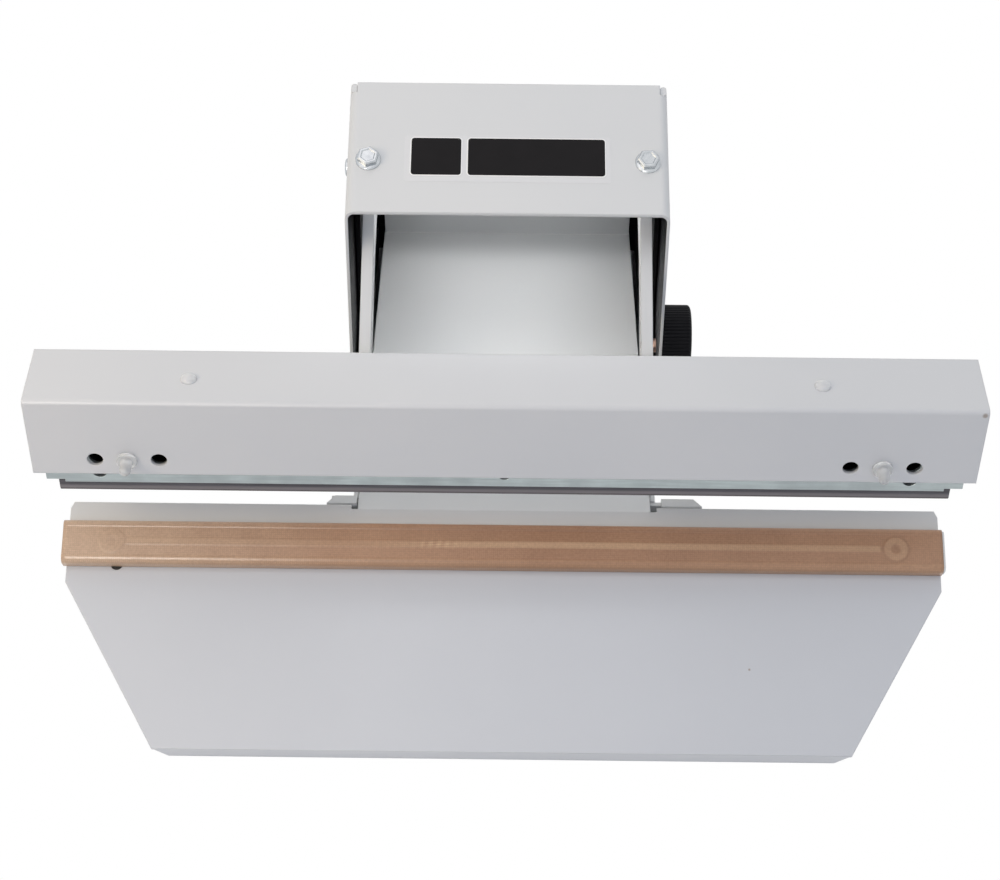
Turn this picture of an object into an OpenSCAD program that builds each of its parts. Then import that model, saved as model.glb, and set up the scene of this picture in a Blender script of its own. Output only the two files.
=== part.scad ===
// Foot-operated impulse heat sealer head: a sprung upper jaw on two arms closes on a heated lower jaw.
// X runs along the jaws, +Y to the back, +Z up. The origin is the middle of the base's bolt pattern, on its underside.

/* [Lower jaw] */
// Length of the lower jaw bar
jaw_len = 350; // [300:5:420]
// Depth of the lower jaw over its cloth
bar_w = 18; // [14:0.5:24]
// Height of the lower jaw over the deck, with its cloth
bar_h = 6.5; // [5:0.5:10]
// Thickness of the PTFE glass cloth
cloth_t = 0.4; // [0.3:0.1:0.6]
// Radius of the cloth over the jaw's edges
cloth_r = 2.8; // [1:0.1:3.2]
// How far the bar stands out of the cloth at each end
cloth_end = 0.9; // [0.5:0.1:3]
// How far the bar passes the deck at each end
bar_over = 1.2; // [0.5:0.1:3]
// Side clearance between the bar and its cloth
cloth_gap = 0.2; // [0.1:0.05:0.5]
// Width of the heating band
band_w = 2.5; // [1.5:0.5:5]
// Thickness of the heating band
band_t = 0.3; // [0.2:0.05:0.5]
// Thickness of the insulation under the band
insul_t = 0.3; // [0.2:0.05:0.5]
// Distance of a band stud from the end of the deck
stud_in = 18.5; // [12:0.5:55]
// Diameter of a band stud's flat head
stud_head_d = 10; // [7:0.5:12]
// Diameter of a band stud's shank
stud_d = 4; // [3:0.5:5]
// Diameter of a jaw screw
jaw_screw_d = 4; // [3:0.5:5]

/* [Deck and table] */
// Slope of the deck, the lower jaw and the table, rising to the back
deck_tilt = 33; // [25:1:38]
// Place of the lower jaw's middle on the deck, front to back
deck_y = -99; // [-110:0.5:-94]
// Height of the lower jaw's middle on the deck
deck_z = 59.7; // [56:0.1:66]
// Thickness of the deck and table sheets
sheet = 1.5; // [1:0.1:2]
// How far the lip reaches behind the jaw's middle
lip_len = 18; // [15:0.5:20]
// Cut-off at the lip's back corners
lip_chamfer = 2.7; // [1:0.1:5]
// Where the tongue bends off the lip, behind the jaw's middle
bend_at = 16.3; // [12:0.1:17.5]
// Width of the relief notch beside the tongue
notch_w = 2.5; // [1.5:0.1:4]
// Slope of the tongue that runs back under the hood
tongue_tilt = 8; // [2:0.5:9]
// Length of the tongue
tongue_len = 174; // [150:1:175]
// Width of the tongue at the bend
tongue_w = 118.4; // [114:0.1:118.6]
// Width of the tongue at its back end
tongue_back_w = 112; // [100:0.5:114]
// Height of the tongue's turned up rear end
tongue_turn = 12; // [6:0.5:13]
// Reach of the table in front of the jaw's middle
table_len = 82.4; // [60:0.2:100]
// Length of the table's straight sides before they taper
table_straight = 15.7; // [11:0.1:30]
// Width of the table's front edge
table_front_w = 273; // [200:1:330]
// Depth of the table's folded flanges
table_flange = 14; // [6:0.5:15]
// Gap at the folded corners of the table
corner_gap = 0.9; // [0.6:0.1:4]
// How far the front fold's ends slant in
corner_slant = 4.4; // [1:0.1:8]

/* [Jaw support] */
// Width of the support's upright behind the lip
support_w = 140; // [124:1:160]
// Width of the wings at their front edge
wing_w = 152; // [140:1:180]
// Depth of the wings
wing_d = 4.8; // [3:0.1:5.5]
// Slant cut from the wings' ends
wing_cut = 3.3; // [0:0.1:8]
// How far the wings sit to the right of the middle
wing_shift = 4.1; // [0:0.1:5]
// Thickness of the support's plate
support_t = 2; // [1.5:0.1:3]
// Reach of the gussets under the table, in front of the jaw's middle
gusset_len = 45; // [25:1:70]
// Thickness of a gusset
gusset_t = 3; // [2:0.5:5]

/* [Upper jaw] */
// Length of the upper jaw's cover
cover_len = 362; // [310:1:430]
// Depth of the cover's top
cover_top = 30.8; // [26:0.2:36]
// Height of the cover's front
cover_front = 36.2; // [32:0.2:40]
// Thickness of the cover's sheet
cover_t = 1.5; // [1:0.1:2]
// Outer radius of the cover's bend
cover_r = 1.8; // [1.6:0.1:4]
// Slope of the cover's top at rest, rising to the back
jaw_tilt = 4; // [0:0.5:8]
// Place of the cover's top front edge, front to back
jaw_y = -114.6; // [-118:0.1:-112]
// Height of the cover's top front edge
jaw_z = 142.9; // [140:0.1:146]
// Length of the zinc rubber carrier
carrier_len = 353.4; // [300:0.2:420]
// Length of the carrier's lower lip
carrier_lip_len = 339.2; // [290:0.2:410]
// Thickness of the carrier
carrier_t = 1.5; // [1:0.1:2]
// How far the carrier shows below the cover
carrier_drop = 4.4; // [2:0.1:5]
// Depth of the carrier's lower lip
carrier_lip = 1.4; // [0.8:0.1:2]
// Height of the carrier's strip
carrier_h = 22; // [18:0.5:25]
// Length of the sealing rubber
rubber_len = 345; // [290:0.5:415]
// Depth of the sealing rubber
rubber_w = 8; // [6:0.5:9]
// How far the rubber's middle lies behind the band
rubber_shift = 1; // [0.9:0.1:1.4]
// Gap left between rubber and cloth when the jaw is closed
close_gap = 0.4; // [0.3:0.05:0.8]
// Length of the steel beam in the upper jaw
beam_len = 330; // [280:1:345]
// Depth of the beam
beam_w = 12; // [10:0.5:14]
// Height of the beam
beam_h = 21; // [18:0.5:23]
// Drop from the cover's top to the beam's underside
beam_drop = 33; // [32:0.2:34]
// Distance between the two domes
dome_span = 239.6; // [150:0.2:300]
// Place of the domes behind the cover's front
dome_back = 13.9; // [9:0.1:20]
// Diameter of a dome
dome_d = 6.4; // [4:0.2:9]
// Height of a dome
dome_h = 2; // [1:0.1:3]
// Distance between the two pegs
peg_span = 288.4; // [250:0.2:310]
// Drop from the cover's top to the pegs and their holes
peg_drop = 28.9; // [26:0.1:31]
// Length of a peg in front of the cover
peg_len = 8; // [4:0.5:12]
// Diameter of a peg
peg_d = 4.8; // [4:0.1:7]
// Diameter of a peg's flange
peg_flange_d = 7.8; // [6.5:0.1:9]
// Distance from a peg to the holes beside it
hole_side = 12.2; // [9:0.1:15]
// Diameter of the round holes in the cover's front
hole_d = 6.2; // [3:0.1:7]

/* [Arms and pivot] */
// Place of the pivot, front to back
pivot_y = -23; // [-26:0.5:-21]
// Height of the pivot
pivot_z = 87; // [86.5:0.1:89]
// Turn that closes the jaw
close_deg = 21.5; // [20.5:0.25:23.5]
// Diameter of the pivot shaft
shaft_d = 10; // [8:0.5:11]
// Space between an arm and the chassis wall beside it
arm_side = 2.3; // [1.5:0.1:4]
// Thickness of an arm
arm_t = 4.5; // [3:0.5:6]
// Radius of an arm's hub
hub_r = 8; // [7:0.1:8.2]
// Height of the arms over the pivot
arm_rise = 89; // [80:0.5:91]
// Width of the arm's upper limb
arm_w = 12; // [9:0.5:14]
// Radius of the arm's upper end round the spring pin
arm_end_r = 6.5; // [5:0.1:7]
// Slope of the arms' top edge
arm_slope = 37; // [33:0.5:40]
// Inward fold of an arm on the beam
arm_foot = 16; // [12:0.5:22]
// Running clearance of shafts and pins, on the radius
run_gap = 0.05; // [0.02:0.01:0.09]
// Side clearance between pieces that move past each other
side_gap = 0.4; // [0.3:0.05:0.8]
// Thickness of a bush's flange
bush_flange = 1; // [0.6:0.1:1.2]
// Wall of a bush
bush_wall = 2; // [1.5:0.1:3]
// Length of a shaft collar
collar_len = 6; // [4:0.5:10]
// Diameter of the crank rod
crank_d = 6; // [4:0.5:8]
// Crank rod in front of the pivot
crank_front = 27; // [24:0.5:30]
// Crank rod over the pivot
crank_up = 14; // [12:0.5:18]
// Height of the pull link's lower end
pull_low_z = 28; // [26:0.5:40]
// Bore of the pull link's lower eye
pull_bore = 6; // [4:0.5:8]
// Depth of the pull link's socket
pull_deep = 12; // [8:0.5:16]

/* [Return springs] */
// Wire of a return spring
wire_d = 1.2; // [0.8:0.1:1.6]
// Middle diameter of a spring's curls
coil_d = 8; // [6:0.5:9]
// Number of curls
coil_turns = 16; // [10:1:20]
// Space between a spring and the arm beside it
spring_side = 2.5; // [2:0.1:5]
// Diameter of the spring pins on the arms
spring_pin_d = 4; // [3:0.5:5]
// Spring pin over the pivot
spring_pin_up = 83; // [70:0.5:84]
// Spring pin behind the pivot
spring_pin_back = 8; // [2:0.5:9]
// Diameter of the spring rod
spring_rod_d = 6; // [4:0.5:8]
// Spring rod behind the pivot
spring_rod_back = 66; // [60:0.5:68]
// Spring rod over the pivot
spring_rod_up = 55; // [45:0.5:57]
// Radius of a stop bumper
bumper_r = 6; // [4:0.5:8]
// Height of the stop bumpers over the spring pins
bumper_up = 0; // [-2:0.5:2]

/* [Hood] */
// Width of the hood
hood_w = 126; // [125.2:0.2:128]
// Thickness of the hood's sheet
hood_t = 1.2; // [1:0.1:2]
// Place of the hood's front edge
hood_front_y = -46.1; // [-51:0.1:-45.5]
// Height of the hood's top at the front edge
hood_front_z = 185; // [183:0.2:190]
// Slope of the hood's top, rising to the back
hood_slope = 26.1; // [22:0.1:30]
// Length of the hood's sloping top
hood_len = 60.4; // [58:0.1:70]
// Outer radius of the hood's side bends
hood_r = 3.5; // [2.4:0.1:5]
// Notch at the back corners of the hood's top
hood_notch = 4.4; // [3:0.1:9]
// Place of the hood's back edge
hood_back_y = 95; // [95:0.5:105]
// Height where the hood's back turns upright
hood_knee_z = 97; // [95:0.5:106]
// Height of the hood's lower edge
hood_low_z = 50; // [46:0.5:54]
// Distance from the hood's side to the axis of its hex bolt
bolt_in = 8.3; // [8:0.1:11]
// Place of the hex bolts behind the hood's front edge
bolt_back = 23.9; // [20:0.1:32]
// Width across the flats of a hex bolt
bolt_flats = 7.5; // [5.5:0.5:8]
// Diameter of a hex bolt's flange
bolt_flange_d = 10; // [8.5:0.5:12]
// Diameter of a hex bolt's shank
bolt_d = 4; // [3:0.5:5]
// Place of the dark side screw behind the pivot
side_screw_back = 2; // [-6:0.5:8]
// Height of the dark side screw over the pivot
side_screw_up = 102.6; // [92:0.2:103.6]
// Width of the small label plate
label_small = 19.5; // [10:0.5:30]
// Width of the large label plate
label_large = 53.6; // [30:0.2:60]
// Height of the label plates
label_h = 17; // [10:0.5:24]
// Gap between the label plates
label_gap = 2.7; // [1:0.1:6]
// Thickness of the label plates
label_t = 0.3; // [0.2:0.1:0.8]
// Place of the label plates behind the hood's front edge
label_back = 17.1; // [10:0.1:30]

/* [Chassis] */
// Clearance between the chassis and the hood
chassis_gap = 0.5; // [0.3:0.1:0.8]
// Thickness of the chassis plate
chassis_t = 2; // [1.5:0.1:2.5]
// Place of the chassis' front wall
chassis_front = -77.8; // [-79:0.1:-75]
// Space between the chassis' back wall and the hood
chassis_back_gap = 0.2; // [0.2:0.1:1]
// Base bolt spacing across
base_x = 90; // [80:1:100]
// Base bolt spacing front to back
base_y = 120; // [110:1:130]
// Diameter of the base bolt holes
base_hole_d = 6.6; // [5.5:0.1:9]
// Width of the opening for the pull link
pull_open = 30; // [24:1:36]

/* [Timer] */
// Place of the timer knob's axis, front to back
knob_y = 30; // [20:0.5:32]
// Height of the timer knob's axis
knob_z = 73.5; // [68:0.5:74]
// Diameter of the knob
knob_d = 30; // [24:0.5:34]
// Length of the knob
knob_len = 14; // [12:0.5:24]
// Number of ridges on the knob
knob_ridges = 40; // [24:1:48]
// Depth of the knob's ridges
ridge_h = 0.6; // [0.3:0.1:1]
// Diameter of the potentiometer's shaft
pot_shaft_d = 6; // [4:0.5:6.5]
// Diameter of the potentiometer's threaded neck
pot_neck_d = 9; // [8:0.5:12]
// Diameter of the potentiometer's can
pot_d = 17; // [14:0.5:20]
// Length of the potentiometer's can
pot_len = 10.7; // [8:0.1:12]
// Thickness of the potentiometer's nut
pot_nut = 2.5; // [2:0.1:3]
// Thickness of the timer board
board_t = 1.6; // [1:0.1:2]
// Length of the timer board
board_len = 68; // [50:1:72]
// Height of the timer board
board_h = 48; // [36:1:50]
// Height of the tallest piece on the timer board
board_part = 12; // [6:0.5:13]

/* [Electrics] */
// Width of the transformer's core
core_w = 66; // [50:1:70]
// Height of the transformer's core
core_h = 55; // [44:1:60]
// Stack of the transformer's core
core_d = 34; // [24:1:40]
// Width of the core's outer legs
core_leg = 11; // [8:0.5:14]
// Overhang of the coil past the core
coil_over = 12; // [8:0.5:14]
// Height of the mains inlet's, fuse's and switch's middle
rear_z = 27; // [24:0.5:30]
// Width of the switch's rocker
rocker_w = 10; // [8:0.5:14]
// Height of the switch's rocker
rocker_h = 17; // [14:0.5:20]
// Turn of the rocker between off and on
rocker_deg = 16; // [10:1:20]
// Diameter of the fuse holder's body
fuse_d = 12; // [10:0.5:14]

/* [Hidden] */
$fn = 48;

paint = "#d3d5d6";
zinc = "#b9c4c3";
black = "#1b1b1d";
brass = "#b08d57";
steel = "#8d9296";
eps = 0.01;

// A point of a side view turned about its origin
function turn(p, a) = [p[0] * cos(a) - p[1] * sin(a), p[0] * sin(a) + p[1] * cos(a)];
// Side view points of the sloping deck, the hood's top and the jaw, in the part's frame
function deck_pt(p) = [deck_y, deck_z] + turn(p, deck_tilt);
function hood_pt(p) = [hood_front_y, hood_front_z] + turn(p, hood_slope);
function jaw_pt(p) = [jaw_y, jaw_z] + turn(p, jaw_tilt);
// A side view point of the closed jaw, opened to rest and given in the jaw's own frame
pivot = [pivot_y, pivot_z];
function opened(p) = pivot + turn(p - pivot, -close_deg);
function in_jaw(p) = turn(p - [jaw_y, jaw_z], -jaw_tilt);
// Height of the tongue's top and underside at a place front to back
bend = deck_pt([bend_at, 0]);
function tongue_top(y) = bend[1] + (y - bend[0]) * tan(tongue_tilt);
function tongue_low(y) = tongue_top(y) - sheet / cos(tongue_tilt);
function tongue_half(y) = tongue_w / 2 - (tongue_w - tongue_back_w) / 2 * (y - bend[0]) / cos(tongue_tilt) / tongue_len;

chassis_half = hood_w / 2 - hood_t - chassis_gap;
bolt_span = hood_w - 2 * bolt_in;
chassis_in = chassis_half - chassis_t;
chassis_back = hood_back_y - hood_t - chassis_back_gap;
arm_out = chassis_in - arm_side;
arm_in = arm_out - arm_t;
spring_span = 2 * arm_in - coil_d - 2 * spring_side;
shaft_r = shaft_d / 2;
bush_r = shaft_r + run_gap + bush_wall;
ridge = hood_pt([hood_len, 0]);
// Place of the hood's sloping back at a height, moved in by a distance
function back_y(z, d) = ridge[0] + (ridge[1] - z) * (hood_back_y - ridge[0]) / (ridge[1] - hood_knee_z) - d;
crank = pivot + [-crank_front, crank_up];
spring_pin = pivot + [spring_pin_back, spring_pin_up];
spring_rod_at = pivot + [spring_rod_back, spring_rod_up];
side_screw = pivot + [side_screw_back, side_screw_up];
stud_span = jaw_len - 2 * stud_in;
bar_len = jaw_len + 2 * bar_over;
bar_top = bar_h - cloth_t - band_t - insul_t;
bar_half = bar_w / 2 - cloth_t - cloth_gap;
screw_xs = [for (s = [-1, 1], x = [0.26, 0.74]) s * x * stud_span / 2];
screw_y = bar_w / 4;
screw_gap = 0.3;
carrier_back = cover_t + carrier_t;
rubber_front = in_jaw(opened(deck_pt([rubber_shift - rubber_w / 2, bar_h + close_gap])));
rubber_rear = in_jaw(opened(deck_pt([rubber_shift + rubber_w / 2, bar_h + close_gap])));
beam_back = carrier_back + beam_w;
foot_zs = [-beam_drop + beam_h * 0.25, -beam_drop + beam_h * 0.7];
foot_x = arm_out - arm_t - arm_foot / 2;
arm_screw_d = 5;
arm_screw_reach = beam_w * 0.8;
brass_at = jaw_pt([cover_top + 13, 0]) + [0, -5];
brass_d = 3;
tab_w = chassis_in - bolt_span / 2 + bolt_flange_d;

// A plate with a side view outline, from one place across to another
module slab(x0, x1, pts)
    translate([x0, 0, 0]) rotate([90, 0, 90]) linear_extrude(x1 - x0) polygon(pts);
// A rod across, at a side view point
module rod(x0, x1, r, p)
    translate([x0, p[0], p[1]]) rotate([0, 90, 0]) cylinder(r = r, h = x1 - x0);
module on_deck() translate([0, deck_y, deck_z]) rotate([deck_tilt, 0, 0]) children();
module on_hood() translate([0, hood_front_y, hood_front_z]) rotate([hood_slope, 0, 0]) children();
module on_jaw() translate([0, jaw_y, jaw_z]) rotate([jaw_tilt, 0, 0]) children();
module both_sides() { children(); mirror([1, 0, 0]) children(); }

// Chassis: folded steel box that carries the deck, the pivot and the electrics, with lugs up to the hood
lug_front = pivot_y - hub_r - 6;
lug_waist = pivot_y + 7;
lug_drop = 3;
lug_back_z = spring_rod_at[1] - spring_rod_d;
inlet_x = -30;
fuse_x = 4;
switch_x = 34;
inlet_w = 27;
inlet_h = 20;
frame_w = rocker_w + 3;
frame_h = rocker_h + 3;
module chassis_side() {
    slab(chassis_in, chassis_half, [
        [chassis_front, 0], [chassis_back, 0], [chassis_back, tongue_low(chassis_back)],
        [back_y(lug_back_z, 7), tongue_low(back_y(lug_back_z, 7))], [back_y(lug_back_z, 7), lug_back_z],
        [back_y(ridge[1] - 16, 7), ridge[1] - 16], hood_pt([hood_len - 16, -lug_drop]), hood_pt([11, -lug_drop]),
        [lug_waist, pivot_z + arm_rise - 4], [lug_waist, pivot_z + 30], [lug_front, pivot_z + 11],
        [lug_front, tongue_low(lug_front)], [chassis_front, tongue_low(chassis_front)]]);
    on_hood() difference() {
        translate([chassis_in - tab_w, bolt_back - bolt_flange_d, -hood_t - chassis_t])
            cube([tab_w + chassis_t / 2, 2 * bolt_flange_d, chassis_t]);
        translate([bolt_span / 2, bolt_back, -hood_t - chassis_t - 1])
            cylinder(d = bolt_d + 2 * screw_gap, h = chassis_t + 2);
    }
}
module chassis() color(paint) difference() {
    union() {
        translate([-chassis_half, chassis_front, 0])
            cube([2 * chassis_half, chassis_back - chassis_front, chassis_t]);
        both_sides() chassis_side();
        slab(-chassis_in - eps, chassis_in + eps, [
            [chassis_front, chassis_t - eps], [chassis_front + chassis_t, chassis_t - eps],
            [chassis_front + chassis_t, tongue_low(chassis_front)], [chassis_front, tongue_low(chassis_front)]]);
        slab(-chassis_in - eps, chassis_in + eps, [
            [chassis_back - chassis_t, chassis_t - eps], [chassis_back, chassis_t - eps],
            [chassis_back, tongue_low(chassis_back)],
            [chassis_back - chassis_t, tongue_low(chassis_back - chassis_t)]]);
    }
    for (x = [-1, 1], y = [-1, 1])
        translate([x * base_x / 2, y * base_y / 2, -1]) cylinder(d = base_hole_d, h = chassis_t + 2);
    translate([-pull_open / 2, crank[0] - pull_open / 2, -1]) cube([pull_open, pull_open, chassis_t + 2]);
    rod(-hood_w, hood_w, bush_r, pivot);
    rod(-hood_w, hood_w, spring_rod_d / 2 + run_gap, spring_rod_at);
    rod(0, hood_w, pot_neck_d / 2 + run_gap, [knob_y, knob_z]);
    rod(-hood_w, 0, side_screw_d / 2 + run_gap, side_screw);
    translate([inlet_x - inlet_w / 2, chassis_back - chassis_t - 1, rear_z - inlet_h / 2])
        cube([inlet_w, chassis_t + 2, inlet_h]);
    translate([switch_x - frame_w / 2, chassis_back - chassis_t - 1, rear_z - frame_h / 2])
        cube([frame_w, chassis_t + 2, frame_h]);
    translate([fuse_x, chassis_back + 1, rear_z]) rotate([90, 0, 0])
        cylinder(d = fuse_d + 2 * run_gap, h = chassis_t + 2);
}

// Deck plate: the lip behind the lower jaw, with the tongue folded off it that runs back under the hood
joint_gap = 0.1;
slot_w = 2 * (crank_d / 2 + 2);
module deck_plate() color(paint) difference() {
    union() {
        on_deck() translate([0, 0, -sheet]) linear_extrude(sheet) difference() {
            polygon([[-jaw_len / 2, joint_gap], [jaw_len / 2, joint_gap], [jaw_len / 2, lip_len - lip_chamfer],
                [jaw_len / 2 - lip_chamfer / 2, lip_len], [lip_chamfer / 2 - jaw_len / 2, lip_len],
                [-jaw_len / 2, lip_len - lip_chamfer]]);
            translate([-tongue_w / 2 - notch_w, bend_at]) square([tongue_w + 2 * notch_w, lip_len]);
        }
        translate([0, bend[0], bend[1]]) rotate([tongue_tilt, 0, 0]) translate([0, 0, -sheet]) linear_extrude(sheet)
            polygon([[-tongue_w / 2, 0], [tongue_w / 2, 0], [tongue_back_w / 2, tongue_len],
                [-tongue_back_w / 2, tongue_len]]);
        translate([0, bend[0], bend[1]]) rotate([tongue_tilt, 0, 0])
            translate([0.2 - tongue_back_w / 2, tongue_len - sheet - 0.1, -sheet / 2])
            cube([tongue_back_w - 0.4, sheet, tongue_turn + sheet / 2]);
    }
    jaw_holes(1);
    translate([-slot_w / 2, crank[0] - 12, bend[1] - 10]) cube([slot_w, 18, 40]);
}
// Clearance holes for the jaw screws on one side of the joint, and for the band studs on it
module jaw_holes(side) on_deck() {
    for (x = screw_xs)
        translate([x, side * screw_y, -sheet - 1]) cylinder(d = jaw_screw_d + 2 * screw_gap, h = sheet + 2);
    for (s = [-1, 1])
        translate([s * stud_span / 2, 0, -sheet - 1]) cylinder(d = stud_d + 4, h = sheet + 2);
}

// Jaw support: folded plate on the chassis front, with wings behind the lip and gussets under the deck
support_top = tongue_low(chassis_front) - 0.6;
wing_top = tongue_top(chassis_front) - 0.2;
wing_in = tongue_w / 2 + notch_w + 0.2;
gusset_low = 22;
module wing(x_in, x_out) {
    translate([0, 0, wing_top - support_t]) linear_extrude(support_t)
        polygon([[x_in, chassis_front - wing_d], [x_out, chassis_front - wing_d],
            [x_out - wing_cut, chassis_front], [x_in, chassis_front]]);
    slab(x_in + 0.2, support_w / 2, [
        [chassis_front - support_t, support_top - 1], [chassis_front - 0.2, support_top - 1],
        [chassis_front - 0.2, wing_top - eps], [chassis_front - support_t, wing_top - eps]]);
}
module jaw_support() color(paint) {
    slab(-support_w / 2, support_w / 2, [
        [chassis_front - support_t, gusset_low], [chassis_front, gusset_low],
        [chassis_front, support_top], [chassis_front - support_t, support_top]]);
    wing(wing_in + wing_shift * 0.45, wing_w / 2 + wing_shift);
    mirror([1, 0, 0]) wing(tongue_w / 2 + 0.5, wing_w / 2 - wing_shift);
    both_sides() {
        slab(wing_in + 1, wing_in + 1 + gusset_t, [
            deck_pt([lip_len - 4, -sheet]), deck_pt([-gusset_len, -sheet]),
            deck_pt([-gusset_len, -sheet]) + [0, -12], [chassis_front - support_t + eps, gusset_low],
            [chassis_front - support_t + eps, deck_pt([lip_len - 4, -sheet])[1]]]);
    }
}

// Work table: sheet that slopes to the operator, with its front and side edges folded down
table_half = jaw_len / 2;
plug_x = 1.6 - stud_span / 2;
plug_y = -bar_w / 2 + 1.1;
plug_d = 5;
table_k = (table_half - table_front_w / 2) / (table_len - table_straight);
table_slant = sheet * sqrt(1 + table_k * table_k);
function table_x(y) = table_half - max(0, -table_straight - y) * table_k;
module table_outline(d, slant) polygon([
    [-table_half + d, -joint_gap], [table_half - d, -joint_gap], [table_half - d, -table_straight + d * table_k / 2],
    [table_x(d - table_len) - slant, d - table_len], [slant - table_x(d - table_len), d - table_len],
    [-table_half + d, -table_straight + d * table_k / 2]]);
module work_table() color(paint) difference() {
    on_deck() difference() {
        translate([0, 0, -table_flange]) linear_extrude(table_flange) table_outline(0, 0);
        translate([0, 0, -table_flange - 1]) linear_extrude(table_flange + 1 - sheet) table_outline(sheet, table_slant);
        // open back, and the gaps at the folded corners
        translate([-jaw_len, -sheet - 8, -table_flange - 1]) cube([2 * jaw_len, 40, table_flange + 1 - sheet]);
        both_sides() translate([0, -table_len + sheet * 1.8, 0]) rotate([90, 0, 0]) linear_extrude(1 + sheet * 1.8)
            polygon([[table_front_w / 2 - corner_gap, -sheet - 0.3],
                [table_front_w / 2 - corner_gap - corner_slant, -table_flange - 1],
                [table_front_w / 2 + 3, -table_flange - 1], [table_front_w / 2 + 3, -sheet - 0.3]]);
        translate([plug_x, plug_y, -sheet - 1]) cylinder(d = plug_d, h = sheet + 2);
    }
    jaw_holes(-1);
}
// Black disc that fills the small hole in the table, half under the cloth's front edge
module table_plug() color(black) on_deck()
    translate([plug_x, plug_y, -sheet + 0.1]) cylinder(d = plug_d - 2 * run_gap, h = sheet - 0.5);

// Lower jaw bar: aluminium bar screwed down on the deck, under the band and the cloth
module jaw_bar() color(steel) on_deck() difference() {
    translate([-bar_len / 2, 0, 0]) rotate([90, 0, 90]) linear_extrude(bar_len)
        arch(bar_half, bar_top, cloth_r - cloth_t - cloth_gap);
    for (x = screw_xs, s = [-1, 1])
        translate([x, s * screw_y, -1]) cylinder(d = jaw_screw_d + 2 * run_gap, h = bar_top);
    for (s = [-1, 1])
        translate([s * stud_span / 2, 0, -1]) cylinder(d = stud_d + 2, h = bar_top + 2);
}
module band_insulation() color("#d9d3c4") on_deck() translate([0, 0, bar_top]) difference() {
    translate([-bar_len / 2 + cloth_end, -bar_half * 0.75, 0])
        cube([bar_len - 2 * cloth_end, 2 * bar_half * 0.75, insul_t]);
    for (s = [-1, 1])
        translate([s * stud_span / 2, 0, -1]) cylinder(d = stud_d + 2, h = insul_t + 2);
}
// Heating band: thin resistance strip between the heads of the two end studs
module heating_band() color(steel) on_deck()
    translate([-stud_span / 2 + stud_head_d / 2, -band_w / 2, bar_top + insul_t])
    cube([stud_span - stud_head_d, band_w, band_t]);
washer_t = 1.2;
module band_studs() color(brass) on_deck() for (s = [-1, 1]) translate([s * stud_span / 2, 0, 0]) {
    translate([0, 0, bar_top + insul_t]) cylinder(d = stud_head_d, h = band_t);
    translate([0, 0, -sheet - washer_t - 6]) cylinder(d = stud_d, h = sheet + washer_t + 6 + bar_h - cloth_t - band_t / 2);
    translate([0, 0, -sheet - washer_t - 3]) cylinder(d = 2 * stud_d, h = 3, $fn = 6);
}
module stud_washers() color("#6d5a44") on_deck() for (s = [-1, 1]) translate([s * stud_span / 2, 0, -sheet - washer_t])
    difference() {
        cylinder(d = 3 * stud_d, h = washer_t);
        translate([0, 0, -1]) cylinder(d = stud_d + 2 * run_gap, h = washer_t + 2);
    }
// PTFE cloth: glass cloth laid over the bar and down both sides
module arch(half, top, r) {
    translate([-half, 0]) square([2 * half, top - r]);
    translate([r - half, 0]) square([2 * (half - r), top]);
    for (s = [-1, 1]) translate([s * (half - r), top - r]) circle(r = r);
}
module ptfe_cloth() color("#b08d6e") on_deck()
    translate([-bar_len / 2, 0, 0]) rotate([90, 0, 90]) linear_extrude(bar_len - cloth_end)
    difference() {
        arch(bar_w / 2, bar_h, cloth_r);
        translate([0, -eps]) arch(bar_w / 2 - cloth_t, bar_h - cloth_t + eps, cloth_r - cloth_t);
    }
module jaw_screws() color(steel) on_deck() for (x = screw_xs, s = [-1, 1]) translate([x, s * screw_y, 0]) {
    translate([0, 0, -sheet - 3]) cylinder(d = 1.75 * jaw_screw_d, h = 3);
    translate([0, 0, -sheet - eps]) cylinder(d = jaw_screw_d, h = sheet + bar_top * 0.7);
}

// Hood: folded sheet cover with a sloping top, upright sides and a sloping back, open to the front and below
hood_half = hood_w / 2;
back_dir = ([hood_back_y, hood_knee_z] - ridge) / norm([hood_back_y, hood_knee_z] - ridge);
back_in = ridge + hood_t * [back_dir[1], -back_dir[0]];
// Where two side view lines meet, each given by a point and a direction
function meet(p, d, q, e) = p + d * ((q - p) * [e[1], -e[0]]) / (d * [e[1], -e[0]]);
// A sheet's section with rounded upper corners, drawn along the slope of the hood's top
module along_top(half, top, r) on_hood() translate([0, -80, 0]) rotate([-90, 0, 0]) mirror([0, 1, 0])
    linear_extrude(320) translate([0, -300]) arch(half, 300 + top, r);
module hood_outside() intersection() {
    slab(-hood_half - 5, hood_half + 5, [
        [hood_front_y, hood_low_z], [hood_back_y, hood_low_z], [hood_back_y, hood_knee_z], ridge, hood_pt([0, 0])]);
    along_top(hood_half, 0, hood_r);
}
module hood_inside() intersection() {
    slab(-hood_half - 5, hood_half + 5, [
        [hood_front_y - 30, hood_low_z - 5], [hood_back_y - hood_t, hood_low_z - 5],
        meet(back_in, back_dir, [hood_back_y - hood_t, 0], [0, 1]),
        meet(back_in, back_dir, hood_pt([0, -hood_t]), turn([1, 0], hood_slope)), hood_pt([-30, -hood_t])]);
    along_top(hood_half - hood_t, -hood_t, hood_r - hood_t);
}
module hood() color(paint) difference() {
    hood_outside();
    hood_inside();
    on_hood() for (s = [-1, 1]) translate([s * bolt_span / 2, bolt_back, -hood_t - 1])
        cylinder(d = bolt_d + 2 * screw_gap, h = hood_t + 2);
    // relief notches where the side bends stop before the ridge
    both_sides() on_hood() translate([hood_half - hood_notch * 0.65, hood_len - hood_notch, -hood_r - 0.6])
        cube([hood_notch, 2 * hood_notch, 2 * hood_r]);
    rod(0, hood_w, pot_neck_d / 2 + run_gap, [knob_y, knob_z]);
    rod(-hood_w, 0, side_screw_d / 2 + run_gap, side_screw);
}
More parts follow.
